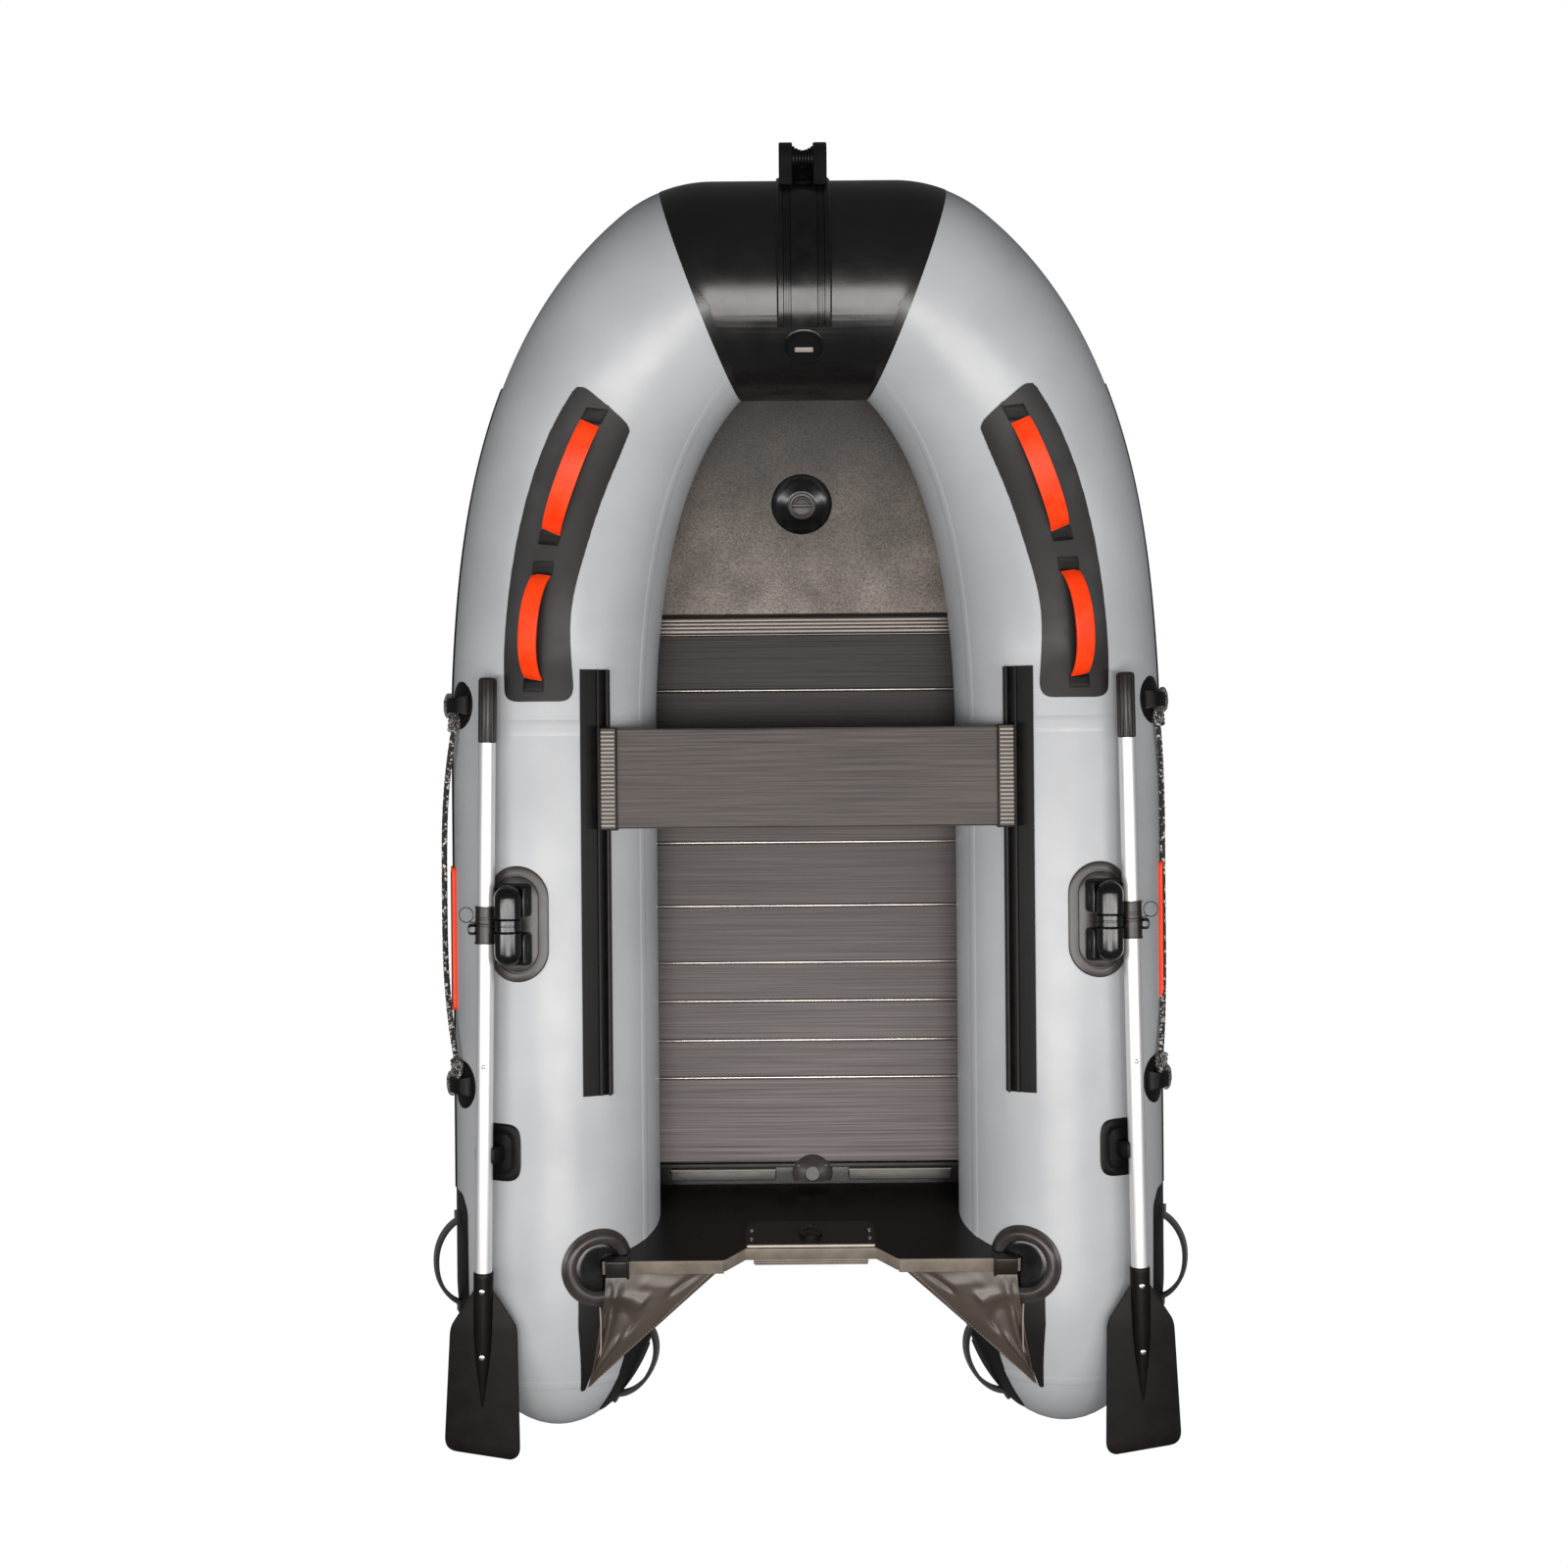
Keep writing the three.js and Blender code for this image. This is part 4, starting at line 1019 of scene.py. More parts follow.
def build_bands():
    both(band("inboard_lap_seam", (-65.4, -60), (-1.17, 0.84), 0.9 * MM, (6, 160)), "hull",
         grey_fabric, "grey_fabric")
    both(band("ring_lap_seam", (-150, 150), (0.147, 0.179), 0.6 * MM, (120, 6)), "hull",
         grey_fabric, "grey_fabric")
    both(band("end_cap_seam", (-178, 178), (-1.186, -1.166), 0.8 * MM, (120, 6)), "hull",
         grey_fabric, "grey_fabric")

    def strake(u, v):
        across = 2 * u - 1
        crown = math.sqrt(max(1 - across * across, 0)) + 0.16 * math.cos(5 * math.pi * across)
        return skin(0.86 + v * (-0.80 - 0.86), 92 + 9 * across, 4.5 * MM * crown).translation
    both(smooth(thick(formed("rub_strake", 14, 180, strake), 1.5 * MM), 50), "hull",
         black_rubber, "black_rubber")


def build_stern_rims():
    """The rub strake's end, carried round the stern cone a little below its widest."""
    rim = [Vector((TUBE_X + TUBE_R * math.cos(a), CONE_Y - (CONE_L + MM) * math.sin(a),
                   TUBE_R - 14 * MM)) for a in (math.radians(30 + 2.5 * k) for k in range(49))]
    both(pipe("stern_rim", rim, 4.5 * MM, 12), "hull", black_rubber, "black_rubber")


# ---- Handles ----
# The long edges of the handle panel, in millimetres: arc outboard of the tube's top, and station.
PANEL_OUTBOARD = [(79, 216), (85, 330), (76, 540), (56, 735), (37, 826)]
PANEL_INBOARD = [(-64, 216), (-49, 392), (-69, 541), (-90, 691), (-92, 742)]
PANEL_HALF = Vector((70 * MM, 285 * MM))


def build_handle_panels():
    edges = [curved_through([Vector(p) * MM for p in edge], 24)
             for edge in (PANEL_INBOARD, PANEL_OUTBOARD)]
    spans = len(edges[0]) - 1
    panel = patch("handle_panel", rectangle(*PANEL_HALF, 30 * MM), 1.6 * MM, 7 * MM)
    for v in panel.data.vertices:
        share = min(max(v.co.y / PANEL_HALF.y / 2 + 0.5, 0), 0.9999) * spans
        low = int(share)
        inboard, outboard = (e[low].lerp(e[low + 1], share - low) for e in edges)
        x, y = inboard.lerp(outboard, v.co.x / PANEL_HALF.x / 2 + 0.5)
        v.co = skin(y, x / DEGREE, v.co.z).translation
    both(smooth(panel), "hull", patch_fabric, "black_fabric")


# Each handle's aft and fore ends, (station, degrees), and how far it leans outboard.
HANDLE_AT = {"forward": ((0.550, 2), (0.750, -4), 3), "middle": ((0.261, 5), (0.468, 4), 18)}


def strap(name, start, end, outwards, lean, rise, width, thickness, foot, taper=0.0):
    """An arched strap from one point of the skin to another, flat at its feet."""
    along = (end - start).normalized()
    normal = (outwards - along * outwards.dot(along)).normalized()
    normal = Matrix.Rotation(math.radians(lean), 3, along) @ normal
    across = along.cross(normal)
    half = (end - start).length / 2
    root = half - foot
    middle = (start + end) / 2

    def shape(u, v):
        s = (2 * v - 1) * half
        k = min(abs(s) / root, 1)
        height = (rise - thickness) * (1 - k**2.2) ** 0.75 + thickness / 2
        wide = width * (1 - taper * k**2)
        crown = 0.06 * thickness * (1 - (2 * u - 1) ** 4)
        return middle + along * s + normal * (height + crown) + across * ((u - 0.5) * wide)

    obj = thick(formed(name, 8, 90, shape), thickness, 0)
    return softened(obj, thickness * 0.3, 3, 50)


def build_handles():
    for which, (aft, fore, lean) in HANDLE_AT.items():
        ends = [skin(*aft), skin(*fore)]
        outwards = ends[0].col[2].to_3d() + ends[1].col[2].to_3d()
        grip = strap(f"{which}_handle_grip", ends[0].translation, ends[1].translation, outwards,
                     lean, 42 * MM, 41 * MM, 5 * MM, 3 * MM, 0.05)
        both(grip, "hull", orange_rubber, "orange_rubber", f"{which}_handle")
        turn = math.atan2((aft[1] - fore[1]) * DEGREE, fore[0] - aft[0])
        for end, (y, degrees), toward in (("aft", aft, -1), ("fore", fore, 1)):
            pad = patch("pad", rectangle(21 * MM, 14 * MM, 2 * MM), 2.4 * MM, 6 * MM)
            raised_middle = patch("middle", rectangle(18.5 * MM, 11.5 * MM, 2 * MM), 3.6 * MM, 6 * MM)
            pad = joined(f"{which}_handle_{end}_pad", pad, raised_middle)
            settle(pad, Matrix.Rotation(turn, 4, "Z") @ Matrix.Translation((0, toward * 12 * MM, 0)))
            both(softened(wrapped(pad, y, degrees), 0.6 * MM, 2), "hull", black_rubber,
                 "black_rubber")


def glued_patch(name, outline, thickness, y, degrees):
    """A patch of black cloth on each side tube."""
    flat = patch(name, outline, thickness)
    both(smooth(wrapped(flat, y, degrees)), "hull", patch_fabric, "black_fabric")


def build_stern_loops():
    for name, stations, degrees, outwards, rise, foot in (
            ("outer", (-1.048, -0.839), 70, Vector((1, 0, 0.36)), 54 * MM, 20 * MM),
            ("inner", (-1.252, -1.084), -80, Vector((-1, -0.5, 0.17)), 46 * MM, 18 * MM)):
        ends = [skin(y, degrees).translation for y in stations]
        loop = strap(f"{name}_loop_strap", *ends, outwards, 0, rise, 28 * MM, 8 * MM, foot)
        both(loop, "hull", loop_webbing, "black_rubber", f"{name}_stern_loop")
    corners = [(-100, -108), (-96, 120), (-70, 152), (60, 152), (60, -160), (-60, -160)]
    glued_patch("outer_loop_patch", eased(mm(*corners[::-1]), 14 * MM), 1.6 * MM, -0.948, 80)
    glued_patch("inner_loop_patch", rectangle(75 * MM, 112 * MM, 34 * MM), 1.6 * MM, -1.150, -70)


SIDE_PLATE_Y = -0.2715


def build_side_plates():
    """Blank orange plates outboard of the oarlocks, each with a black inlay."""
    for name, wide, long, cut, thickness, soft, material, slot in (
            ("side_plate", 73, 150, 14, 7.5, 0.8, orange_rubber, "orange_rubber"),
            ("side_plate_inlay", 63, 140, 9, 8.1, 0.5, black_rubber, "black_rubber")):
        flat = patch(name, rectangle(wide * MM, long * MM, cut * MM), thickness * MM)
        both(softened(wrapped(flat, SIDE_PLATE_Y, 90), soft * MM, 2), "hull", material, slot)


# ---- Rope holders ----
def build_rope_holders():
    for which, y in zip(("forward", "aft"), HOLDER_Y):
        disc = rimmed("disc", stadium(49 * MM, 0), mm(
            (0, 0.2), (0, 1.6), (2, 2.6), (8, 3.2), (16, 4.4), (30, 5.2), (48.5, 5.4)), 56)

        def shape(u, v):
            run = 2 * v - 1
            x = 36 * MM * run
            height = 20.5 * MM * (1 - abs(run) ** 3.2) ** 0.7 + 1.5 * MM
            wide = (35 - 5 * (v - 0.5)) * MM * (0.84 + 0.3 * abs(run) ** 3)
            return x, (u - 0.5) * wide, height
        bridge = softened(thick(formed("bridge", 8, 44, shape), 3.6 * MM, -1), 1 * MM, 2, 50)
        holder = wrapped(joined(f"{which}_rope_eye", disc, bridge), y, HOLDER_ANGLE)
        both(smooth(holder, 50), "hull", black_rubber, "black_rubber", f"{which}_rope_holder")


# ---- Oarlocks and oars ----
OARLOCK_Y = -0.232
OARLOCK_ANGLE = 15
PIVOT = skin(OARLOCK_Y, OARLOCK_ANGLE, 46 * MM).translation
OAR_AT = Vector((0.648, OARLOCK_Y, 0.436))
OAR_YAW = 0.9  # degrees: the blade lies further outboard than the grip
OAR_PLACE = Matrix.Translation(OAR_AT) @ Matrix.Rotation(math.radians(OAR_YAW), 4, "Z")
OAR_R = 17 * MM
# Stations along the oar: the blade's tip and root, the shaft's joint, and the grip's ends.
BLADE_TIP_Y, BLADE_ROOT_Y = -1.3052, -0.929
SHAFT_JOINT_Y = -0.556
GRIP_Y = 0.134, 0.265
CLIP_AT = -0.694, 28.5  # station and degrees round the tube
# Local Z towards the bow, local X to starboard: for what is turned about a fore-and-aft axis.
FORE_AND_AFT = Matrix(((1, 0, 0, 0), (0, 0, 1, 0), (0, -1, 0, 0), (0, 0, 0, 1)))
ON_OAR = OAR_PLACE @ FORE_AND_AFT


def on_oar(y):
    """The distance along the oar's axis, from the oarlock, of a station."""
    return y - OARLOCK_Y


def build_oarlock():
    flange = rimmed("flange", stadium(65 * MM, 52 * MM), mm(
        (0, 0.2), (0, 3), (1.5, 4.4), (3, 4.8), (14, 5.6), (17, 5.2), (17.6, 1.4), (19.6, 1.4),
        (20.2, 5.6), (22, 6.6), (30, 7.6), (36, 8), (50, 8.2), (64.8, 8.2)), 96)
    wrapped(flange, OARLOCK_Y, OARLOCK_ANGLE)
    # The flange's grey is partly bloom and partly a painted sheen.
    both(smooth(named(flange, "oarlock_flange"), 40), "hull", bloom_and_sheen_rubber, "black_rubber")
    parts = []
    here = skin(OARLOCK_Y, OARLOCK_ANGLE)
    pivot_place = Matrix.Translation(PIVOT) @ FORE_AND_AFT
    for toward in (1, -1):
        cup = block("cup", (70 * MM, 66 * MM, 26 * MM),
                    here @ Matrix.Translation((0, toward * 49 * MM, 14 * MM)), 9 * MM)
        parts.append(cup)
        arc = [(28 * MM * math.cos(a), 40 * MM + 28 * MM * math.sin(a))
               for a in (k * math.radians(88) / 9 for k in range(10))]
        lobe = turned("lobe", [(26.5 * MM, 0), (28 * MM, 1.5 * MM), (28 * MM, 20 * MM), *arc],
                      None, 56)
        settle(lobe, pivot_place @ Matrix.Rotation(0 if toward > 0 else math.pi, 4, "X")
               @ Matrix.Translation((0, 0, 14 * MM)))
        for across in (-31, 31):
            fin = block("fin", (3 * MM, 58 * MM, 34 * MM),
                        here @ Matrix.Translation((across * MM, toward * 46 * MM, 26 * MM)), 1.2 * MM)
            parts.append(fin)
        parts.append(lobe)
    axle = turned("axle", mm((6, -24), (6, 24)), pivot_place, 24)
    base = joined("oarlock_housing", *parts, axle)
    both(smooth(base, 40), "hull", glossy_rubber, "black_rubber", "oarlock_base")


def build_oarlock_swivel():
    reach = Vector((OAR_AT.x - PIVOT.x, 0, OAR_AT.z - PIVOT.z))
    angle = math.atan2(reach.z, reach.x)
    half = 12 * MM
    ring = turned("ring", [
        (7 * MM, -half), (24.5 * MM, -half), (26 * MM, 1.5 * MM - half), (26 * MM, -2 * MM),
        (24.8 * MM, -1 * MM), (24.8 * MM, 1 * MM), (26 * MM, 2 * MM), (26 * MM, half - 1.5 * MM),
        (24.5 * MM, half), (7 * MM, half)],
        Matrix.Translation(PIVOT) @ FORE_AND_AFT, 56, hollow=True)
    outwards = Matrix.Rotation(math.radians(90) - angle, 4, "Y")
    stud = turned("stud", [(8 * MM, 22 * MM), (8 * MM, 24 * MM), (6 * MM, 27 * MM),
                           (6 * MM, reach.length - 22 * MM), (8.5 * MM, reach.length - 21 * MM)],
                  Matrix.Translation(PIVOT) @ outwards, 32)
    both(joined("oarlock_swivel", ring, stud), "oar", glossy_rubber, "black_rubber",
         "oarlock_ring")


def build_sleeve():
    inner = OAR_R + 0.3 * MM
    steps = [(20.5, -37.5), (22.5, -37.5), (22.5, -34.5), (21.2, -33.8), (21.2, -3), (20.2, -2.4),
             (20.2, -1.2), (21.6, -0.6), (21.6, 11), (20.4, 11.6), (20.4, 12.8), (22.2, 13.4),
             (22.2, 15.6), (21.2, 16.4), (21.2, 34), (22.5, 34.8), (22.5, 37.5), (20.5, 37.5)]
    profile = [(inner, -37.5 * MM), *mm(*steps), (inner, 37.5 * MM)]
    sleeve = turned("oar_collar", profile, ON_OAR, 56, hollow=True)
    both(sleeve, "oar", dark_plastic, "dark_plastic", "oar_sleeve")
    knob = turned("knob", mm((7, 20), (11, 21), (12, 24), (12, 31), (9, 35), (4, 36.5)),
                  Matrix.Translation(OAR_AT + Vector((0, -8 * MM, 0)))
                  @ Matrix.Rotation(math.radians(80), 4, "Y"), 6, angle=20)
    both(softened(named(knob, "collar_nut"), 0.8 * MM), "oar", glossy_rubber, "black_rubber")
    centre = OAR_AT + Vector((41 * MM, 20 * MM, -8 * MM))
    ring = [centre + 15 * MM * Vector((math.cos(a), math.sin(a), -0.25 * math.cos(a)))
            for a in full_turn(48)]
    ring = pipe("keeper_ring", ring, 1 * MM, 10, cyclic=True)
    pin = pipe("keeper_pin", [OAR_AT + Vector(p) * MM for p in (
        (38, 6, -10), (22, 5, 0), (16, 4, 16), (0, 3, 23.4), (-16, 2, 16), (-30, 1, 8), (-44, 0, 2),
        (-62, -1, 10))], 1 * MM, 10)
    both(joined("keeper_wire", ring, pin), "oar", glossy_rubber, "black_rubber")


def build_oar():
    root, joint = on_oar(BLADE_ROOT_Y), on_oar(SHAFT_JOINT_Y)
    butt, end = (on_oar(y) for y in GRIP_Y)
    groove = 0.7 * MM
    shaft = turned("oar_tube", [
        (OAR_R, root + 0.3 * MM), (OAR_R, joint - 1.2 * MM), (OAR_R - groove, joint - 0.8 * MM),
        (OAR_R - groove, joint + 0.8 * MM), (OAR_R, joint + 1.2 * MM), (OAR_R, butt - 0.3 * MM)],
        ON_OAR, 64)
    both(shaft, "oar", anodised, "aluminium", "oar_shaft")
    button = turned("spring_button", mm((4.6, 15), (4.6, 17.8), (3.6, 18.8), (1.5, 19.2)),
                    OAR_PLACE @ Matrix.Translation((0, joint + 41 * MM, 0)), 24)
    both(button, "oar", steel, "aluminium")
    radius = 18.5 * MM
    stages = [(0, 0.92), (0.02, 1), (0.94, 1), (0.975, 0.94), (0.995, 0.8), (1, 0.55)]

    def grip_shape(u, v):
        share, wide = stages[round(v * (len(stages) - 1))]
        turn = u * math.tau
        ribs = 0.9 * MM * max(0, math.cos(16 * turn)) ** 0.6 if 0 < share < 0.99 else 0
        reach = radius * wide - 0.9 * MM + ribs
        return ON_OAR @ Vector((reach * math.cos(turn), reach * math.sin(turn),
                                butt + share * (end - butt)))
    grip = closed_up(formed("ribbed_grip", 192, len(stages) - 1, grip_shape))
    both(smooth(grip, 30), "oar", dark_plastic, "dark_plastic", "oar_grip")


def build_blade():
    tip, root = on_oar(BLADE_TIP_Y), on_oar(BLADE_ROOT_Y)
    # Round the blade from its neck: millimetres across, and the distance along the oar. A row of
    # three is a rounded corner.
    outline = []
    for row in (
            [(-12, root - 0.020)], [(-18, root - 0.034)],
            [(-62, root - 0.100), (-68, root - 0.110), (-69, root - 0.125)],
            [(-76, tip + 0.026), (-77, tip + 0.002), (-56, tip)],
            [(52, tip + 0.016), (76, tip + 0.020), (75, tip + 0.046)],
            [(67, root - 0.125), (66, root - 0.110), (60, root - 0.100)],
            [(18, root - 0.034)], [(12, root - 0.020)]):
        points = [Vector((x * MM, y)) for x, y in row]
        outline += rounded_corner(*points) if len(points) == 3 else points
    web = plate("web", outline, 5 * MM, 1.6 * MM, OAR_PLACE @ Matrix.Translation((0, 0, -2.5 * MM)))
    spine = turned("spine", [
        (0.8 * MM, tip + 0.100), (3 * MM, tip + 0.108), (8 * MM, tip + 0.150),
        (13 * MM, root - 0.190), (16.5 * MM, root - 0.155), (18.5 * MM, root - 0.120),
        (19.6 * MM, root - 0.080), (20 * MM, root - 0.010), (20 * MM, root - 0.002),
        (19 * MM, root)], ON_OAR, 48)
    both(smooth(joined("blade_moulding", web, spine), 30), "oar", blade_plastic, "dark_plastic",
         "oar_blade")
    studs = []
    for y, radius in ((root - 0.035, 20 * MM), (root - 0.168, 15 * MM)):
        studs.append(turned("stud", [(5.4 * MM, radius - 1.5 * MM), (5.4 * MM, radius + 0.2 * MM),
                                     (4 * MM, radius + 1 * MM), (1.5 * MM, radius + 1.3 * MM)],
                            OAR_PLACE @ Matrix.Translation((0, y, 0)), 24))
    both(joined("blade_rivets", *studs), "oar", steel, "aluminium")


def build_clip():
    """The rest that the shaft snaps into: a moulded foot glued to the tube, with open jaws."""
    y, degrees = CLIP_AT
    foot = rimmed("foot", squarish(54 * MM, 58 * MM), mm(
        (0, 0.2), (0, 2.4), (1.2, 3.4), (12, 4.2), (14, 3.6), (15, 2.6), (16.4, 2.6), (18, 5.6),
        (30, 7), (40, 8), (53, 8.4)), 96)
    wrapped(foot, y, degrees)
    shaft_x = OAR_AT.x + (OARLOCK_Y - y) * math.tan(math.radians(OAR_YAW))
    lean = math.atan2(shaft_x - TUBE_X, OAR_AT.z - TUBE_R)
    jaws_at = at(shaft_x, y, OAR_AT.z, ("Y", math.degrees(lean)))
    jaws = block("jaws", (48 * MM, 34 * MM, 46 * MM), jaws_at @ at(0, 0, -21 * MM), 6 * MM)
    bore = turned("bore", [(OAR_R + 2 * MM, -80 * MM), (OAR_R + 2 * MM, 80 * MM)],
                  at(shaft_x, y, OAR_AT.z, ("Z", OAR_YAW)) @ FORE_AND_AFT, 40)
    combined(jaws, bore, "DIFFERENCE")
    mouth = block("mouth", (2 * OAR_R + 3 * MM, 60 * MM, 40 * MM), jaws_at @ at(0, 0, 20 * MM),
                  0.5 * MM)
    combined(jaws, mouth, "DIFFERENCE")
    both(smooth(joined("oar_rest", foot, jaws), 40), "hull", black_rubber, "black_rubber",
         "oar_clip")


# ---- Stern ----
TRANSOM_RAKE = 14  # degrees
TRANSOM_FOOT_Z = 0.090
TRANSOM_TOP_Y = -0.930  # halfway through the board
CUP_AT = -0.930, -28.5  # the rubber holder's middle: station and degrees round the tube
# On the transom's forward face: X to starboard, Y down it, Z forwards.
TRANSOM_FACE = at(0, -0.838, TRANSOM_FOOT_Z, ("X", TRANSOM_RAKE - 90))


def on_transom(x, z, forward):
    """A place on the transom's forward face at a height, standing off it."""
    up = (z - TRANSOM_FOOT_Z) / math.cos(math.radians(TRANSOM_RAKE))
    return TRANSOM_FACE @ Matrix.Translation((x, -up, forward))


def on_top(x, z, y=TRANSOM_TOP_Y):
    """A place at the transom's top, leaning with it."""
    return at(x, y, z, ("X", TRANSOM_RAKE))


def build_transom_holders():
    cup = rimmed("transom_cup", stadium(78 * MM, 0), mm(
        (0, 0.2), (0, 2.6), (2, 4), (7, 5), (9, 8), (12, 10.4), (17, 11.8), (21, 11.2), (25, 9.2),
        (29, 5.4), (32, 3.4), (77, 3)), 96)
    # The holder's grey is partly bloom and partly a painted reflection.
    both(smooth(wrapped(cup, *CUP_AT), 50), "hull", bloom_and_sheen_rubber, "black_rubber",
         "transom_holder")
    middle = rimmed("transom_cup_middle", stadium(50 * MM, 0), mm(
        (0, 3), (0, 4), (1.5, 5), (12, 4.4), (49.5, 4.2)), 72)
    both(smooth(wrapped(middle, *CUP_AT), 50), "hull", glossy_rubber, "black_rubber")
    corners = [(-124, 40), (-62, 40), (-62, -120), (-78, -262), (-90, -262), (-124, -110)]
    glued_patch("brace_strip", eased(mm(*corners[::-1]), 5 * MM, 3), 2.2 * MM, CUP_AT[0], 0)


# The gusset's corners: two on the tube, at its fore and after ends, and one on the transom.
GUSSET_Y = -0.940, -1.184
GUSSET_ANGLE = -30.9, -25.9
GUSSET_TIP = Vector((0.186, -0.9405, 0.388))
# Creases, in shares across from the tube and aft from the transom: from, to, width, millimetres.
CREASES = [
    ((0.03, 0.12), (0.10, 0.80), 0.045, -9), ((0.10, 0.10), (0.24, 0.86), 0.060, 6),
    ((0.02, 0.20), (0.46, 0.26), 0.055, 6), ((0.16, 0.26), (0.52, 0.46), 0.070, -8),
    ((0.42, 0.62), (0.22, 0.90), 0.060, 6), ((0.50, 0.30), (0.90, 0.45), 0.120, 5),
    ((0.74, 0.16), (0.82, 0.04), 0.045, -6), ((0.40, 0.08), (0.70, 0.14), 0.070, 4),
]


def tube_edge(v):
    """Along the gusset's edge on the tube, over the holder's rim and then on the strip."""
    y, degrees = (a + v * (b - a) for a, b in (GUSSET_Y, GUSSET_ANGLE))
    from_holder = math.hypot((degrees - CUP_AT[1]) * DEGREE, y - CUP_AT[0])
    over_rim = min(max((95 * MM - from_holder) / (35 * MM), 0), 1)
    return skin(y, degrees, 2.8 * MM + 10 * MM * over_rim).translation


def gusset_point(u, v):
    """A point of the cloth, u from the tube to the hem and v from the transom to the after end."""
    point = tube_edge(v).lerp(GUSSET_TIP.lerp(tube_edge(1), v), u)
    here, lift = Vector((u, v)), 0.8 * MM * math.sin(9 * u + 5 * v)
    for start, end, width, depth in CREASES:
        p, q = Vector(start), Vector(end)
        t = min(max((here - p).dot(q - p) / (q - p).length_squared, 0), 1)
        lift += depth * MM * math.exp(-((here - p.lerp(q, t)).length / width) ** 2)
    slack = min(1, 8 * u) * min(1, 8 * (1 - u) + 0.15) * min(1, 8 * v) * min(1, 3 * (1 - v))
    return point + Vector((0, 0, lift * slack))


def build_gussets():
    cloth = formed("gusset_cloth", 80, 80, gusset_point)
    area = sum(p.area for p in cloth.data.polygons)
    flat = ((GUSSET_TIP - tube_edge(0)).length, (tube_edge(1) - tube_edge(0)).length)
    pair = both(smooth(thick(cloth, 1.2 * MM, 0), 60), "hull", gusset_fabric, "black_fabric",
                "transom_gusset")

    def hem(u, v):
        crown = 0.7 * MM * math.sin(math.pi * u)
        return gusset_point(0.93 + 0.07 * u, 0.98 * v) + Vector((0, 0, 1.5 * MM + crown))
    hems = both(smooth(thick(formed("gusset_hem", 6, 90, hem), 1.0 * MM, -1), 60), "hull",
                gusset_fabric, "black_fabric")
    stitches = []
    for k in range(44):
        ends = [gusset_point(0.952, 0.93 * (k + t) / 44) + Vector((0, 0, 2.4 * MM))
                for t in (0.15, 0.75)]
        stitches.append(pipe("stitch", ends, 0.5 * MM, 6))
    threads = both(joined("gusset_stitches", *stitches), "hull", pad_and_highlight_plastic, "grey_plastic")
    # A pale raised line along the fold by the tube: a painted highlight of the fold's ridge.
    fold_highlight_line = [skin(-1.009 - 0.121 * k / 20, -28.1 - 2.6 * k / 20, 6.5 * MM).translation
            for k in range(21)]
    both(pipe("gusset_fold_highlight", fold_highlight_line, 1.8 * MM, 12), "hull", pad_and_highlight_plastic, "grey_plastic")
    for side, one in pair.items():
        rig.sheet(one, flat=flat, held="stretched", area=area,
                 rests_on=["transom_board", f"{side}_tube_fabric"],
                 with_pieces=[hems[side], threads[side]])


# The top of the transom, (x, z): across the motor cut-out between its shoulders.
TRANSOM_TOP = [(-0.420, 0.405), (-0.174, 0.405), (-0.134, 0.360), (0.134, 0.360), (0.174, 0.405),
               (0.420, 0.405)]


def build_transom_fittings():
    up = Vector((0, -math.sin(math.radians(TRANSOM_RAKE)), math.cos(math.radians(TRANSOM_RAKE))))

    def edging(u, v):
        x, z = TRANSOM_TOP[round(v * (len(TRANSOM_TOP) - 1))]
        return on_transom(x, z, 0.2 * MM - 25.4 * MM * u).translation + 1.6 * MM * up
    band_made = thick(formed("transom_edge_band", 1, len(TRANSOM_TOP) - 1, edging), 1.4 * MM, -1)
    piece(softened(band_made, 0.5 * MM, 2), "hull", edge_board, "slate_board")
    clip = block("clip", (46 * MM, 36 * MM, 26 * MM), on_top(0.394, 0.404), 3 * MM)
    lip = block("lip", (5 * MM, 40 * MM, 30 * MM), on_top(0.371, 0.404), 1.5 * MM)
    both(joined("transom_end_clip", clip, lip), "hull", dark_plastic, "dark_plastic")
    edge = block("capping", (0.246, 29 * MM, 5 * MM), on_top(0.300, 0.4085), 2 * MM)
    both(named(edge, "transom_capping"), "hull", edge_board, "slate_board")
    boss = turned("boss", mm((24, 0), (24, 7), (22, 9), (15, 10), (13, 7),
                             (5, 7)), on_transom(0, 0.318, 8.5 * MM))
    piece(smooth(named(boss, "drain_boss")), "hull", glossy_rubber, "black_rubber")
    screws = [turned("screw", mm((4, 0), (4, 1.5), (2.5, 2.6)),
                     on_transom(x, z, 8.4 * MM), 16)
              for x in (-0.122, 0, 0.122) for z in ((0.335, 0.300) if x else (0.285,))]
    piece(joined("pad_screws", *screws), "hull", steel, "aluminium")
    # A cream strip along the inner pad's top edge: a painted highlight.
    lip = block("lip", (0.262, 5.5 * MM, 4 * MM), on_top(0, 0.3612, -0.9005), 1.8 * MM)
    piece(named(lip, "inner_pad_highlight_strip"), "hull", highlight_cream_plastic, "grey_plastic")
    grooves = [block("rib", (0.232, 2.4 * MM, 3 * MM), on_top(0, 0.3575, y), 0.8 * MM)
               for y in (-0.9345, -0.9385)]
    piece(joined("outer_pad_ribs", *grooves), "hull", pad_and_highlight_plastic, "grey_plastic")


# ---- Floor ----
SLAT_EDGES = [0.374, 0.250, 0.138, 0.029, -0.083, -0.222, -0.346, -0.430, -0.516, -0.598]
FLOOR_TOP = 95 * MM
DRAIN_X = 0.008
# The bow board rises towards the bow from its foot.
BOARD_SLOPE = 19  # degrees
BOARD_RISE = math.tan(math.radians(BOARD_SLOPE))
BOARD_FOOT_Y = 0.416
VALVE_Y = 0.646


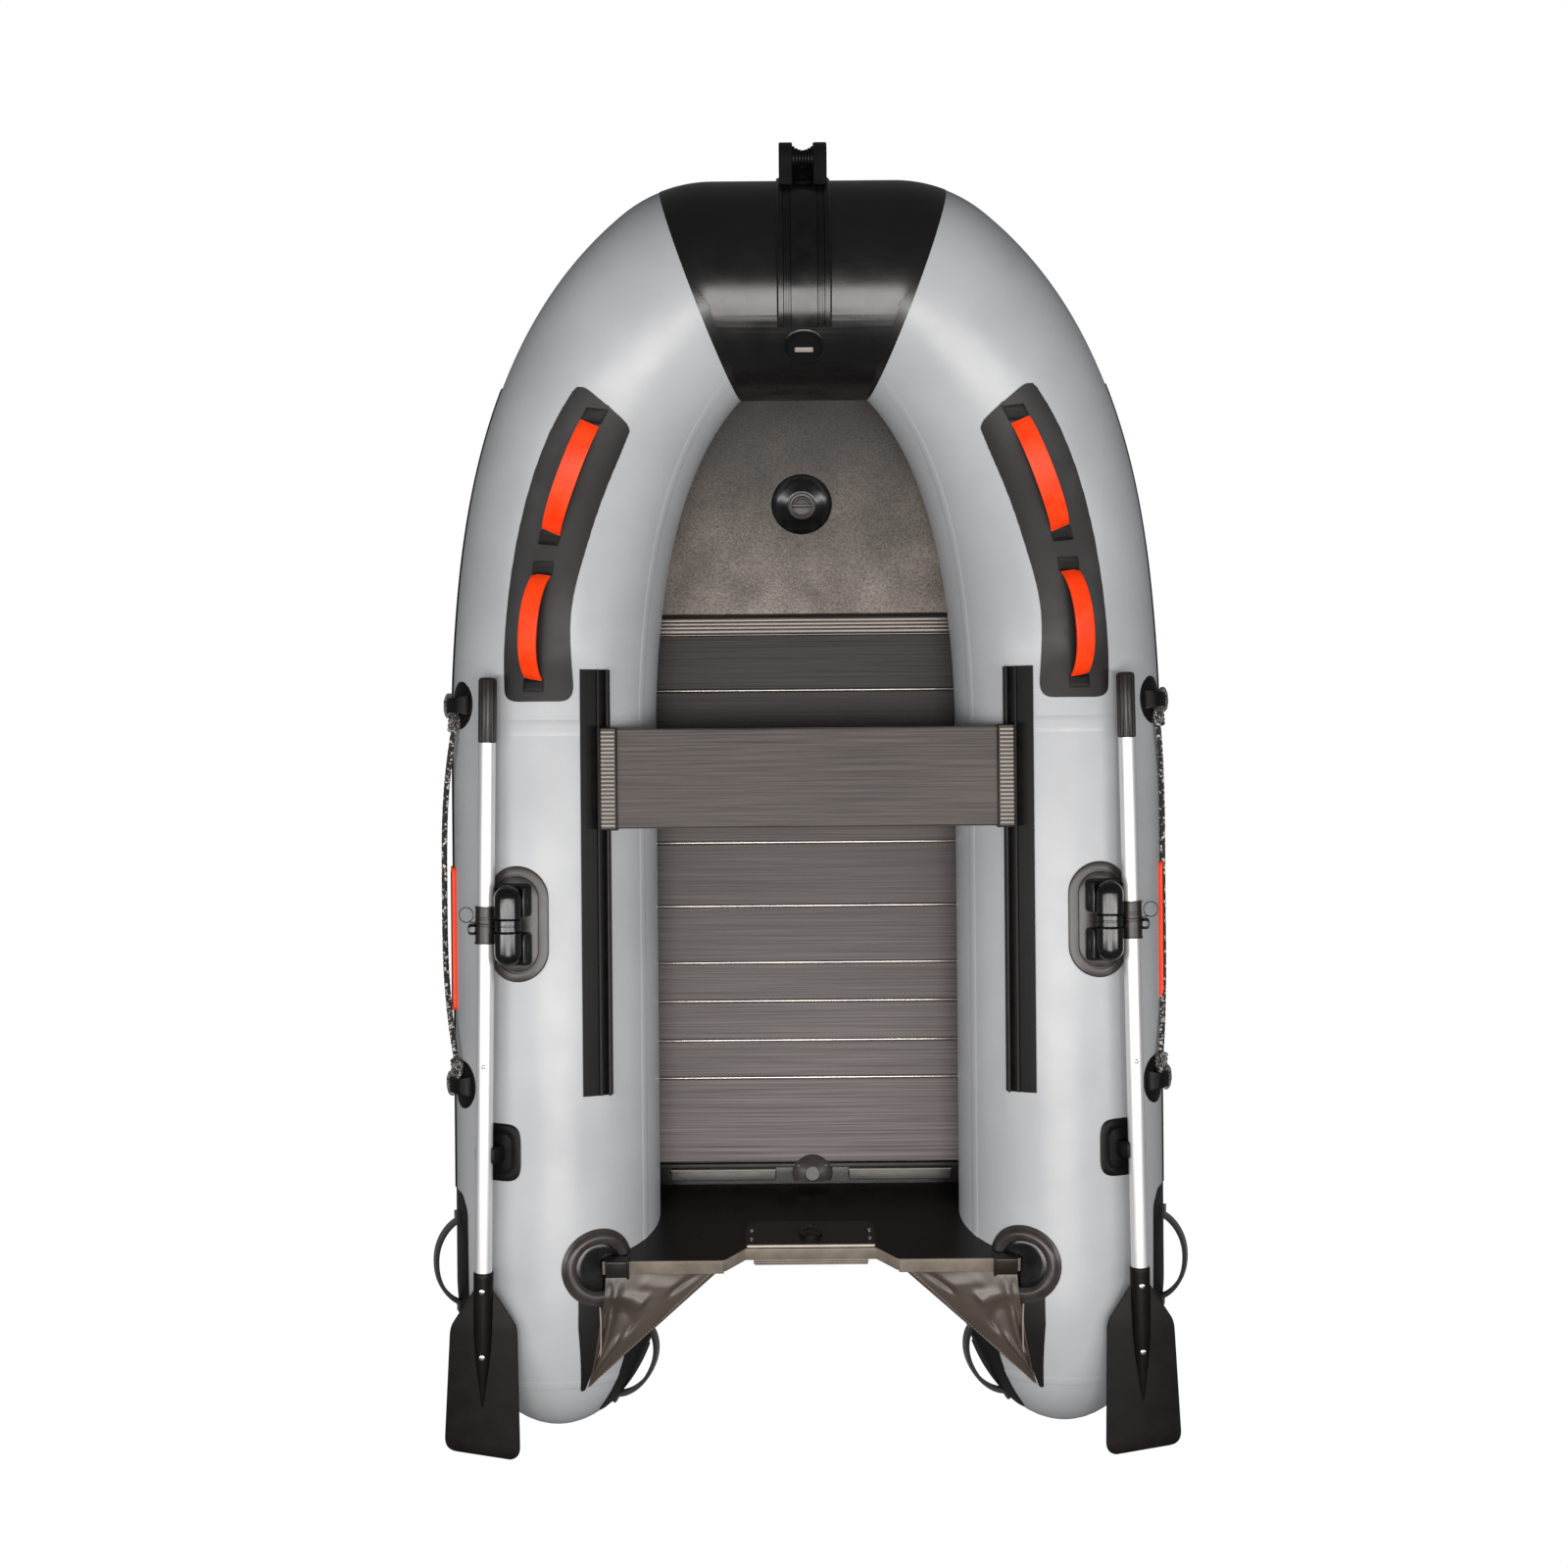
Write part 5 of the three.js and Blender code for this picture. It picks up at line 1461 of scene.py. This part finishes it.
def build_floor_fittings():
    strips = [block("strip", (0.680, 2.2 * MM, 6 * MM), at(0, y + 1.4 * MM, FLOOR_TOP - 3.2 * MM),
                    0.6 * MM) for y in SLAT_EDGES[1:]]
    piece(joined("slat_joint_strips", *strips), "hull", seam_metal, "aluminium")

    def ridged(u, v):
        y = 0.4095 - 0.032 * v
        wave = abs(math.sin(math.pi * (4 * v + 0.02)))
        return (u - 0.5) * 0.676, y, FLOOR_TOP - 2.5 * MM + 3.4 * MM * wave**0.6
    bar = thick(formed("ridged_joint_bar", 2, 96, ridged), 10 * MM, -1)
    piece(smooth(bar, 40), "hull", profile_metal, "aluminium", "floor_joint_bar")
    for name, x0, x1 in (("port", -0.302, -0.072), ("starboard", 0.088, 0.312)):
        size = (x1 - x0, 24 * MM, 12 * MM)
        body = block("body", size, at((x0 + x1) / 2, -0.811, 84 * MM), 2 * MM)
        # A pale strip along each profile's forward edge: a painted highlight.
        ridge = block("ridge", (size[0], 3 * MM, 15 * MM), at((x0 + x1) / 2, -0.8, 84 * MM), 1.2 * MM)
        piece(named(body, f"{name}_floor_end_profile"), "hull", dark_plastic, "dark_plastic")
        piece(named(ridge, f"{name}_floor_end_ridge"), "hull", pad_and_highlight_plastic, "grey_plastic")
    apron = block("floor_end_apron", (0.690, 0.072, 6 * MM), at(0, -0.8185, 71 * MM, ("X", 6)),
                  2 * MM)
    piece(apron, "hull", black_fabric, "black_fabric")
    keeper = block("floor_end_keeper", (0.690, 10 * MM, 15 * MM), at(0, -0.7895, 86 * MM), 2 * MM)
    piece(keeper, "hull", patch_fabric, "black_fabric")
    drain = turned("drain", mm((44, 0), (44, 3), (41, 7), (26, 13), (20, 17), (17, 18), (15, 14),
                               (4, 14)), at(DRAIN_X, -0.806, 88 * MM))
    studs = [turned("stud", mm((4, 4), (4, 8), (2, 9)),
                    at(DRAIN_X + x, -0.790, 90 * MM), 16) for x in (-30 * MM, 30 * MM)]
    drain = joined("drain_valve", drain, *studs)
    edit(drain)
    bpy.ops.mesh.bisect(plane_co=(0, -0.8235, 0), plane_no=(0, -1, 0), clear_outer=True,
                        use_fill=True)
    done()
    # The drain's pale grey is partly a painted light on its top.
    piece(smooth(closed_up(drain)), "hull", bloom_and_sheen_rubber, "black_rubber")


def valve(name, place, radius, material, slot):
    """A boot with a screwed cap: a low cone, a grey ring, a hollow and a grip across it."""
    r = radius
    boot = turned(name, [
        (r, -1 * MM), (r, 1.5 * MM), (r - 2 * MM, 3.4 * MM), (0.72 * r, 9 * MM), (0.5 * r, 14 * MM),
        (0.455 * r, 15 * MM), (0.44 * r, 15 * MM), (0.43 * r, 13.6 * MM)], place, 72)
    piece(boot, "hull", material, slot)
    rim = turned("rim", [(0.385 * r, 12 * MM), (0.40 * r, 16 * MM), (0.425 * r, 16.6 * MM),
                         (0.445 * r, 15.8 * MM), (0.45 * r, 12 * MM)], place, 64, hollow=True)
    piece(named(rim, f"{name}_rim"), "hull", grey_plastic, "grey_plastic")
    cap = turned("cap", [(0.38 * r, 10 * MM), (0.38 * r, 14.4 * MM), (0.33 * r, 14.8 * MM),
                         (0.31 * r, 14 * MM), (0.10 * r, 14 * MM)], place, 64)
    bar = block("bar", (0.66 * r, 0.13 * r, 6 * MM), place @ at(0, 0, 15 * MM), 1.5 * MM)
    arcs = [turned("arc", [(q * r, 14 * MM), (q * r, 15.4 * MM), ((q - 0.03) * r, 15.4 * MM),
                           ((q - 0.03) * r, 14 * MM)], place, 48, hollow=True)
            for q in (0.28, 0.20)]
    piece(joined(f"{name}_cap", cap, bar, *arcs), "hull", dark_plastic, "dark_plastic")


def build_valves():
    height = 82 * MM + (VALVE_Y - BOARD_FOOT_Y) * BOARD_RISE + 12.9 * MM
    valve("floor_valve", at(-4 * MM, VALVE_Y, height, ("X", BOARD_SLOPE)), 65 * MM, glossy_rubber,
          "black_rubber")
    place = on_nose(-1 * MM, -43.5, 1.2 * MM)
    cover = turned("bow_valve", mm((40, -2.5), (40, 0), (38, 1.4), (35.5, 1.6), (34.5, 0.6),
                                   (33, 0.6), (32, 2.2), (8, 3.2)), place, 72)
    tab = block("tab", (36 * MM, 10 * MM, 5 * MM), place @ at(0, -2 * MM, 4 * MM), 2 * MM)
    piece(cover, "hull", glossy_rubber, "black_rubber")
    piece(named(tab, "bow_valve_tab"), "hull", pad_and_highlight_plastic, "grey_plastic")
    button = turned("bow_valve_stud", mm((2.6, -1), (2.6, 1.2),
                                         (1.4, 1.8)), on_nose(-1 * MM, -54, 0), 20)
    piece(button, "hull", steel, "aluminium")


def build_bow_apron():
    """Coated fabric under the bow board, glued to the tubes on both sides."""
    def shape(u, v):
        y = 0.375 + 0.50 * v
        inner = skin(min(y, 0.84), -90).translation.x
        return (2 * u - 1) * (inner + 110 * MM), y, 73 * MM + max(y - BOARD_FOOT_Y, 0) * BOARD_RISE
    apron = thick(formed("bow_apron", 12, 40, shape), 1.5 * MM, 0)
    piece(smooth(apron), "hull", black_fabric, "black_fabric")


# ---- Bench ----
BENCH_Y = 0.059
CAP_Z = 0.4376


def build_seat_caps():
    count, pitch = 24, 8.15 * MM
    rib = block("rib", (28 * MM, 4.6 * MM, 5 * MM), at(0.4005, BENCH_Y - pitch * (count - 1) / 2,
                                                     0.4378), 1.2 * MM)
    modify(rib, "ARRAY", count=count, use_relative_offset=False, use_constant_offset=True,
           constant_offset_displace=(0, pitch, 0))
    ribs = {"port": mirrored(rib, "port_seat_ribs"), "starboard": named(rib, "starboard_seat_ribs")}
    for side, one in ribs.items():
        piece(one, "seat", pad_and_highlight_plastic, "grey_plastic")
        sign = 1 if side == "starboard" else -1
        # Black bars framing the ribs: painted shade of the gaps round them.
        rails = [block("rail", (3 * MM, 0.207, 4.6 * MM), at(sign * x, BENCH_Y, CAP_Z), 1 * MM)
                 for x in (0.3835, 0.4160)]
        ends = [block("end", (36 * MM, 3 * MM, 4.6 * MM), at(sign * 0.3998, BENCH_Y + y, CAP_Z),
                      1 * MM) for y in (-0.102, 0.102)]
        piece(joined(f"{side}_seat_cap_border", *rails, *ends), "seat", black_rubber,
              "black_rubber")


# ---- Anchor roller ----
ROLLER_ANGLE = math.radians(24)
ROLLER_OUT = 0.259  # from the bow tube's axis
ROLLER_AT = Vector((0, NOSE_Y + ROLLER_OUT * math.cos(ROLLER_ANGLE),
                    TUBE_R + BOW_LIFT + ROLLER_OUT * math.sin(ROLLER_ANGLE)))
ATHWART = Matrix.Translation(ROLLER_AT) @ Matrix.Rotation(math.radians(90), 4, "Y")


def build_roller():
    # Across the strip, from its middle: distance and height, in millimetres.
    section = [(0, 4.6), (24, 4.6), (25.5, 1.4), (31, 1.4), (31.8, 4.4), (33.4, 4.4), (34.2, 1.4),
               (40, 1.4), (41.5, 5.2), (49, 5.2), (51, 3.4), (51, 0.6)]
    points = [(-x, h) for x, h in section[:0:-1]] + section
    last = len(points) - 1

    def strip_point(u, v):
        x, lift = points[round(u * last)]
        return on_nose(x * MM, 76 - 108 * v, lift * MM).translation
    strip = thick(formed("strip", last, 64, strip_point), 1.6 * MM, -1)
    lugs = []
    for side in (1, -1):
        angles = [ROLLER_ANGLE - 1.3 + 2.6 * k / 24 for k in range(25)]
        outline = [(-45 * MM, -46 * MM)] + [(29.4 * MM * math.cos(a - ROLLER_ANGLE),
                                         29.4 * MM * math.sin(a - ROLLER_ANGLE))
                                        for a in angles] + [(-45 * MM, 46 * MM)]
        hole = [(6.5 * MM * math.cos(a), 6.5 * MM * math.sin(a))
                for a in full_turn(32)]
        # Local X away from the tube, local Y round it, local Z to starboard.
        basis = Matrix(((0, 0, 1, 0), (math.cos(ROLLER_ANGLE), -math.sin(ROLLER_ANGLE), 0, 0),
                        (math.sin(ROLLER_ANGLE), math.cos(ROLLER_ANGLE), 0, 0), (0, 0, 0, 1)))
        place = Matrix.Translation(ROLLER_AT) @ basis @ Matrix.Translation(
            (0, 0, 20 * MM if side > 0 else -47 * MM))
        lugs.append(plate("lug", outline, 27 * MM, 3 * MM, place, holes=(hole,)))
    channel = block("channel", (44 * MM, 58 * MM, 5 * MM), at(0, 1.268, 0.4825, ("X", -12)), 1 * MM)
    piece(smooth(joined("bow_roller_chock", strip, channel, *lugs), 35), "hull", glossy_rubber,
          "black_rubber", "bow_roller_bracket")
    grooves = []
    for k in range(7):
        h = (-18 + 6 * k) * MM
        r = (15 + 7 * (abs(h) / (18 * MM)) ** 1.6) * MM
        grooves += [(r - 1.6 * MM, h - 2.8 * MM), (r, h - 1.6 * MM), (r, h + 1.6 * MM),
                    (r - 1.6 * MM, h + 2.8 * MM)]
    spool = turned("ribbed_roller", [(5 * MM, -47 * MM), (5 * MM, -21 * MM), *grooves,
                                     (5 * MM, 21 * MM), (5 * MM, 47 * MM)], ATHWART, 48, angle=40)
    piece(spool, "anchor_roller", black_rubber, "dark_plastic", "bow_roller")


for build in (
    build_tubes, build_bands, build_stern_rims, build_handle_panels, build_handles,
    build_stern_loops, build_side_plates, build_rope_holders, build_oarlock,
    build_oarlock_swivel, build_sleeve, build_oar, build_blade, build_clip,
    build_transom_holders, build_gussets, build_transom_fittings, build_floor_fittings,
    build_bow_apron, build_valves, build_seat_caps, build_roller,
):
    build()

with open("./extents.json", "w") as file:
    json.dump({"cad": [list(c) for c in cad_box], "visual": [list(c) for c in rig.bounds()]}, file)
